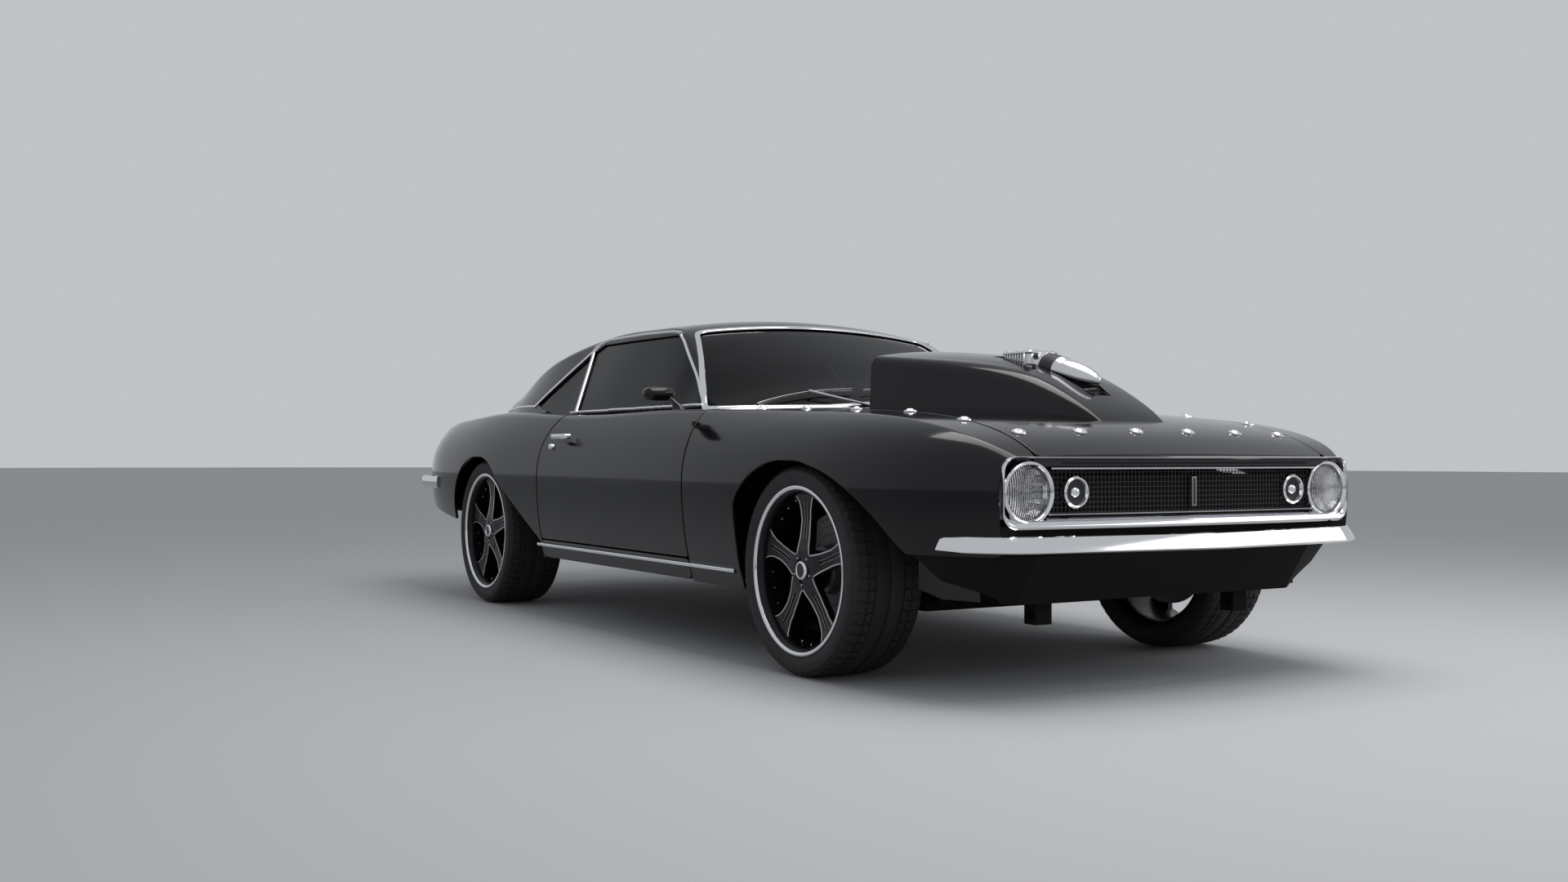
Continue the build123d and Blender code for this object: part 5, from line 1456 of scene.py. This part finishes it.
# Injector: a polished cast throat bolted to the engine, rising through the scoop under a finned plenum and
# lid, with a rubber coupling and a spun alloy nose lying forward in the inlet.
skin = (0.08, 0.0005)
polished = grained("polished_casting", (0.74, 0.74, 0.76), 0.13, 0.10, 160.0, 4.0, skin, Metallic=1.0)
THROAT_X, FIN_Y, FIN_Z, BOLT_Z = 1.4845, 0.0575, 1.015, 1.0430
throat = []
for z, grown in ((0.700, 0.0), (0.975, 0.0), (0.985, -0.003)):
    loop = round_loop(0.060 + grown, 0.058 + grown, 0.016)
    throat.append(laid(loop, (THROAT_X, 0, z), X_WAY, Y_WAY))
dressed(shaped("injector_throat", *stacked(throat), 30), polished, "body", "chrome", "injector")
for name, x0, x1, half_y, z0, z1 in (
    ("injector_flange", 1.405, 1.530, 0.066, 0.984, 0.997),
    ("injector_plenum", 1.432, 1.552, 0.054, 0.996, 1.034),
    ("injector_lid", 1.420, 1.566, 0.064, 1.033, 1.0415),
):
    rows = []
    for z, grown in ((z0, -0.002), (z0 + 0.0025, 0.0), (z1 - 0.0025, 0.0), (z1, -0.002)):
        loop = round_loop((x1 - x0) / 2 + grown, half_y + grown, 0.012)
        rows.append(laid(loop, ((x0 + x1) / 2, 0, z), X_WAY, Y_WAY))
    dressed(shaped(name, *stacked(rows), 30), polished, "body", "chrome")
fin_x = np.arange(1.440, 1.545, 0.0135)
fins = np.array([(x, s * FIN_Y, FIN_Z) for s in (-1, 1) for x in fin_x])
fin_rows = spread("injector_fins", block_tree, fins, Size=(0.0045, 0.014, 0.037), Material=polished)
dressed(fin_rows, polished, "body", "chrome")
bolts = np.array([(x, y, BOLT_Z) for x in (1.436, 1.493, 1.550) for y in (-0.052, 0.052)])
bolt_sizes = {"Base_Radius": 0.0052, "Top_Radius": 0.0044, "Height": 0.005}
lid_bolts = spread("injector_bolts", stud_tree, bolts, Material=polished, **bolt_sizes)
dressed(lid_bolts, polished, "body", "chrome")
PIPE_START, PIPE_WAY = np.array([1.545, 0, 1.0]), unit(np.array([0.97, 0, -0.24]))
pipe_up = np.array([-PIPE_WAY[2], 0, PIPE_WAY[0]])
band = grained("coupling_rubber", (0.010, 0.010, 0.011), 0.40, 0.2, 80.0)
collar = [
    (0.0, -0.03), (0.044, -0.03), (0.044, 0.028), (0.0475, 0.031), (0.0475, 0.041), (0.044, 0.044),
    (0.0, 0.044),
]
sleeve = [(0.0, 0.040), (0.0450, 0.040), (0.0455, 0.060), (0.0455, 0.098), (0.0445, 0.108), (0.0, 0.108)]
spun_nose = [
    (0.0, 0.104), (0.0440, 0.104), (0.0462, 0.108), (0.0462, 0.114), (0.0440, 0.118), (0.0436, 0.140),
    (0.0425, 0.170), (0.0400, 0.200), (0.0360, 0.228), (0.0300, 0.254), (0.0215, 0.276), (0.0110, 0.290),
    (0.0, 0.2945),
]
for name, profile, material in (
    ("injector_collar", collar, polished),
    ("injector_sleeve", sleeve, band),
    ("injector_nose", spun_nose, polished),
):
    at, faces = turned(profile, 56, "x")
    at = PIPE_START + at[:, :1] * PIPE_WAY + at[:, 1:2] * Y_WAY + at[:, 2:] * pipe_up
    dressed(shaped(name, at, faces, 40), material, "body", "chrome")

# Hood studs: chromed quarter-turn fasteners with low domed heads on washers, pressed in along the hood's
# edges and its front; four more of the same hold the cowl.
STUD_Y, COWL_STUD_Y, SLOPE_STEP = 0.598, 0.636, 0.01
ROW_X, ROW_BOW, ROW_HALF = 2.105, 0.035, 0.6
stud_xy = [(x, s * STUD_Y) for x in (1.030, 1.333, 1.630, 1.900) for s in (-1, 1)]
stud_xy += [(ROW_X - ROW_BOW * (y / ROW_HALF) ** 2, y) for y in np.linspace(-0.54, 0.54, 6)]
cowl_xy = [(x, s * COWL_STUD_Y) for x in (0.590, 0.800) for s in (-1, 1)]
for name, pairs, body in (("hood_studs", stud_xy, "hood"), ("cowl_studs", cowl_xy, "body")):
    pairs = np.array(pairs)
    z = hull_top(pairs[:, 0], pairs[:, 1])
    slope_x = (hull_top(pairs[:, 0] + SLOPE_STEP, pairs[:, 1]) - z) / SLOPE_STEP
    slope_y = (hull_top(pairs[:, 0], pairs[:, 1] + SLOPE_STEP) - z) / SLOPE_STEP
    way = unit(trail(-slope_x, -slope_y, 1))
    seat = trail(pairs[:, 0], pairs[:, 1], z)
    for part, base, top, high, lift in (
        ("washers", 0.0220, 0.0200, 0.004, 0.0012),
        ("heads", 0.0165, 0.0095, 0.0052, 0.0048),
    ):
        sizes = {"Base_Radius": base, "Top_Radius": top, "Height": high}
        piece = spread(f"{name}_{part}", stud_tree, seat + lift * way, way, Material=chrome, **sizes)
        dressed(piece, chrome, body, "chrome")

# Door furniture: painted bullet mirrors of pressed steel on short feet, chromed pull handles with key locks
# under them, all screwed to the door skins, and a bright rolled strip along each sill.
mirror_glass = grained("silvered_mirror", (0.62, 0.64, 0.66), 0.04, 0.02, 10.0, Metallic=1.0)
MIRROR_X, MIRROR_Y, MIRROR_Z = 0.553, 0.928, 0.909
GRIP_Z, ROCKER_Y, ROCKER_Z = 0.763, 0.893, 0.308
LOCK_PLACE = (-0.500, 0, 0.721)
# Columns: place across, half-width and half-height.
head_rows = (
    (0.868, 0.012, 0.008), (0.871, 0.020, 0.014), (0.880, 0.0275, 0.0205), (0.905, 0.0325, 0.0245),
    (0.945, 0.0330, 0.0250), (0.968, 0.0300, 0.0225), (0.980, 0.0225, 0.0165), (0.985, 0.0130, 0.0090),
)
# Columns: height, middle's x and y, half-width and half-depth.
foot_rows = (
    (0.853, 0.590, 0.862, 0.030, 0.018), (0.868, 0.586, 0.866, 0.024, 0.015),
    (0.878, 0.578, 0.874, 0.018, 0.011), (0.895, 0.568, 0.888, 0.014, 0.010),
    (0.906, 0.562, 0.895, 0.013, 0.010),
)
grip = [
    (-0.436, 0.892), (-0.434, 0.914), (-0.424, 0.926), (-0.40, 0.929), (-0.35, 0.929), (-0.326, 0.926),
    (-0.316, 0.914), (-0.314, 0.892),
]
grip = soft_loop(even_path(grip, 0.006), False, 2)
grip_bar = [
    (0.0105, 0.0), (0.0095, 0.004), (0.006, 0.006), (-0.006, 0.006), (-0.0095, 0.004), (-0.0105, 0.0),
    (-0.008, -0.004), (0.008, -0.004),
]
lock = [
    (0.0, 0.906), (0.005, 0.906), (0.0075, 0.9045), (0.0105, 0.9045), (0.0125, 0.902), (0.0125, 0.880),
    (0.0, 0.880),
]
rocker_x = np.linspace(-0.638, 1.058, 60)
bead = [
    (-0.008, -0.010), (-0.008, 0.002), (-0.0055, 0.0065), (0.0, 0.008), (0.0055, 0.0065), (0.008, 0.002),
    (0.008, -0.010),
]
for side, hand in HANDS.items():
    body = f"door_{side}"
    outside = hand * Y_WAY
    rows = []
    for y, wide, tall in head_rows:
        loop = round_loop(wide, tall, 0.92 * tall, 8)
        rows.append(laid(loop, (MIRROR_X, hand * y, MIRROR_Z), X_WAY, Z_WAY))
    dressed(shaped(f"mirror_head_{side}", *stacked(rows), 50), paint, body, "paint", f"mirror_{side}")
    rows = []
    for z, x, y, wide, deep in foot_rows:
        loop = round_loop(wide, deep, 0.9 * deep, 5)
        rows.append(laid(loop, (x, hand * y, z), X_WAY, outside))
    dressed(shaped(f"mirror_foot_{side}", *stacked(rows), 50), paint, body, "paint")
    rows = []
    for x, grown in ((0.526, 0.0), (0.5205, 0.0), (0.5192, -0.0012)):
        loop = round_loop(0.044 + grown, 0.0175 + grown, 0.0165, 8)
        rows.append(laid(loop, (x, hand * MIRROR_Y, MIRROR_Z), outside, Z_WAY))
    dressed(shaped(f"mirror_glass_{side}", *stacked(rows), 40), mirror_glass, body, "glass")
    path = trail(grip[:, 0], hand * grip[:, 1], GRIP_Z)
    out = unit(np.cross(np.gradient(path, axis=0), Z_WAY))
    piece = shaped(f"door_grip_{side}", *swept(path, Z_WAY, out, grip_bar), 50)
    dressed(piece, chrome, body, "chrome", f"handle_{side}")
    at, faces = turned(lock, 28)
    dressed(shaped(f"door_lock_{side}", at * (1, hand, 1) + LOCK_PLACE, faces, 40), chrome, body, "chrome")
    path = trail(rocker_x, hand * ROCKER_Y, ROCKER_Z)
    piece = shaped(f"rocker_strip_{side}", *swept(path, Z_WAY, outside, bead), 40)
    dressed(piece, chrome, "body", "chrome", *when(side == "left", "rocker_mouldings"))

# Wipers: bright steel arms on pivots in the cowl, each with a sprung blade that lies in a low bow along the
# foot of the windshield.
def on_roof(x, y):
    """Places on the cabin's outer surface above places in plan."""
    s = np.linspace(1.0, 5.0, 800)
    lines = [roof_point(0 * s + a, s) for a in x]
    return np.array([line[int(np.argmin(np.abs(line[:, 1] - b)))] for line, b in zip(lines, y)])


GLASS_WAY = np.array([0.5, 0, 0.866])
PIVOT_X, PIVOT_Y, WIPER_SPACING, KNEE = 0.735, -0.130, 0.50, 11
BLADE_X, BLADE_SLOPE, BLADE_BOW, BLADE_Y, BLADE_LONG = 0.641, 0.008, 0.010, -0.604, 0.456
along = np.linspace(0, 1, 20)
blade_x = BLADE_X - BLADE_SLOPE * along - BLADE_BOW * np.sin(pi * along)
blade_y = BLADE_Y + BLADE_LONG * along
for n, shift in enumerate((0.0, WIPER_SPACING)):
    blade_path = on_roof(blade_x, blade_y + shift) + 0.004 * GLASS_WAY
    pivot = np.array([PIVOT_X, PIVOT_Y + shift, float(hull_top(PIVOT_X, PIVOT_Y + shift)[0]) + 0.006])
    knee = blade_path[KNEE] + 0.012 * GLASS_WAY
    arm_path = pivot + (knee - pivot) * np.linspace(0, 1, 12)[:, None]
    for part, path, wide, high in (("blade", blade_path, 0.007, 0.011), ("arm", arm_path, 0.010, 0.006)):
        ways = np.broadcast_to(GLASS_WAY, path.shape)
        dressed(strip_along(f"wiper_{part}_{n}", path, ways, wide, high), milled, "body", "chrome")

# Shade sheets: pressed sheets in satin black that close the space between the front valance and each wheel,
# hung from the inner fenders; their black is painted shade for the dark space under each fender.
SHADE_SHEET_REAR, SHADE_SHEET_FRONT = 1.842, 2.040
shade_sheet_x = np.linspace(SHADE_SHEET_REAR, SHADE_SHEET_FRONT, 24)
shade_sheet_y = np.interp(shade_sheet_x, [SHADE_SHEET_REAR, SHADE_SHEET_FRONT], [0.715, 0.650])
shade_sheet_z = np.interp(shade_sheet_x, [SHADE_SHEET_REAR, 1.92, SHADE_SHEET_FRONT], [0.300, 0.276, 0.276])
shade_sheet_profile = [(0.0, 0.0), (0.0, 0.004), (0.003, 0.006), (0.150, 0.006), (0.150, 0.0)]
for side, hand in HANDS.items():
    path = trail(shade_sheet_x, hand * shade_sheet_y, shade_sheet_z)
    piece = shaped(f"splash_shield_{side}", *swept(path, Z_WAY, hand * Y_WAY, shade_sheet_profile), 40)
    dressed(piece, satin_black, "body", "black_plastic")

# Seats: two buckets and a rear bench with a shared back, foam under black leather with sewn channels,
# standing on the floor pan.
leather, place, plug = finish_named("black_leather", Base_Color=(0.020, 0.019, 0.019, 1))
creases = place.node("TexVoronoi", {"feature": "DISTANCE_TO_EDGE"}, Vector=place, Scale=260.0)
plug(Roughness=0.46 + 0.14 * place.noise(40.0, 3.0), Normal=creases.bump(0.25, 0.0006))


def pad(name, middle, size, lean, channels):
    """Crowned cushion with sewn channels along it; lean turns it about the car's width."""
    steps, rings = 72, 40
    around_turn = np.linspace(0, 2 * pi, steps, endpoint=False)[None]
    rise = np.linspace(-pi / 2, pi / 2, rings)[:, None]

    def power(v, e):
        return np.sign(v) * np.abs(v) ** e

    u = power(np.cos(rise), 0.36) * power(np.cos(around_turn), 0.30)
    v = power(np.cos(rise), 0.36) * power(np.sin(around_turn), 0.30)
    w = power(np.sin(rise), 0.50) + 0 * around_turn
    pull = 1 - 0.035 * (1 - v**2)
    seams = np.exp(-((np.sin(pi * channels * v / 2) / 0.16) ** 2)) * (np.abs(v) < 0.9)
    groove = 1 - 0.10 * np.clip(w, 0, 1) * seams
    x, z = u * pull * size[0] / 2, w * groove * size[2] / 2
    y = v * (1 - 0.03 * (1 - u**2)) * size[1] / 2
    c, s = cos(lean), sin(lean)
    at = np.stack([x * c + z * s, y, z * c - x * s], -1).reshape(-1, 3) + middle
    piece = shaped(name, at, ring_faces(rings, steps, capped=False), 60)
    return piece


for side, hand in HANDS.items():
    for name, x, y, z, size, lean, channels in (
        ("front_cushion", 0.090, 0.395, 0.351, (0.40, 0.456, 0.128), -4.9, 6),
        ("front_back", -0.252, 0.395, 0.650, (0.57, 0.452, 0.108), 71.4, 6),
        ("rear_cushion", -0.712, 0.356, 0.372, (0.32, 0.392, 0.150), -5.0, 5),
    ):
        piece = pad(f"{name}_{side}", (x, hand * y, z), size, radians(lean), channels)
        last = side == "left" and name == "front_back"
        dressed(piece, leather, "body", "seat", *when(last, "front_seats"))
back = pad("rear_back", (-0.972, 0, 0.645), (0.37, 1.10, 0.070), radians(72.0), 14)
dressed(back, leather, "body", "seat", "rear_seat")

# Pieces under and inside the car: pressed parts under black undercoat, rough castings and grained mouldings,
# bolted to the floor pan and the rails, seen only through openings and below the body.
tar, sand, hide = (0.3, 0.001), (0.25, 0.0008), (0.25, 0.0004)
undercoat = grained("undercoat", (0.005, 0.005, 0.005), 0.74, 0.2, 240.0, 4.0, tar, Specular_IOR_Level=0.2)
cast = grained("rough_casting", (0.055, 0.055, 0.057), 0.52, 0.2, 180.0, 5.0, sand, Metallic=0.6)
moulded = grained("grained_moulding", (0.014, 0.014, 0.015), 0.50, 0.16, 520.0, 2.0, hide)
node_finishes = {
    undercoat: "floor_pan inner_fenders subframe fuel_tank radiator nose_panel hinge_pillars lid_hinges "
    "grille front_valance",
    cast: "knuckle_right knuckle_left rear_axle engine_block driveline exhaust",
    moulded: "dashboard steering_wheel",
}
for finish, names in node_finishes.items():
    for name in names.split():
        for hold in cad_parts[name].material_slots:
            hold.material = finish

size = {"cad": [list(map(float, c)) for c in cad_box], "visual": [list(map(float, c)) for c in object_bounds()]}
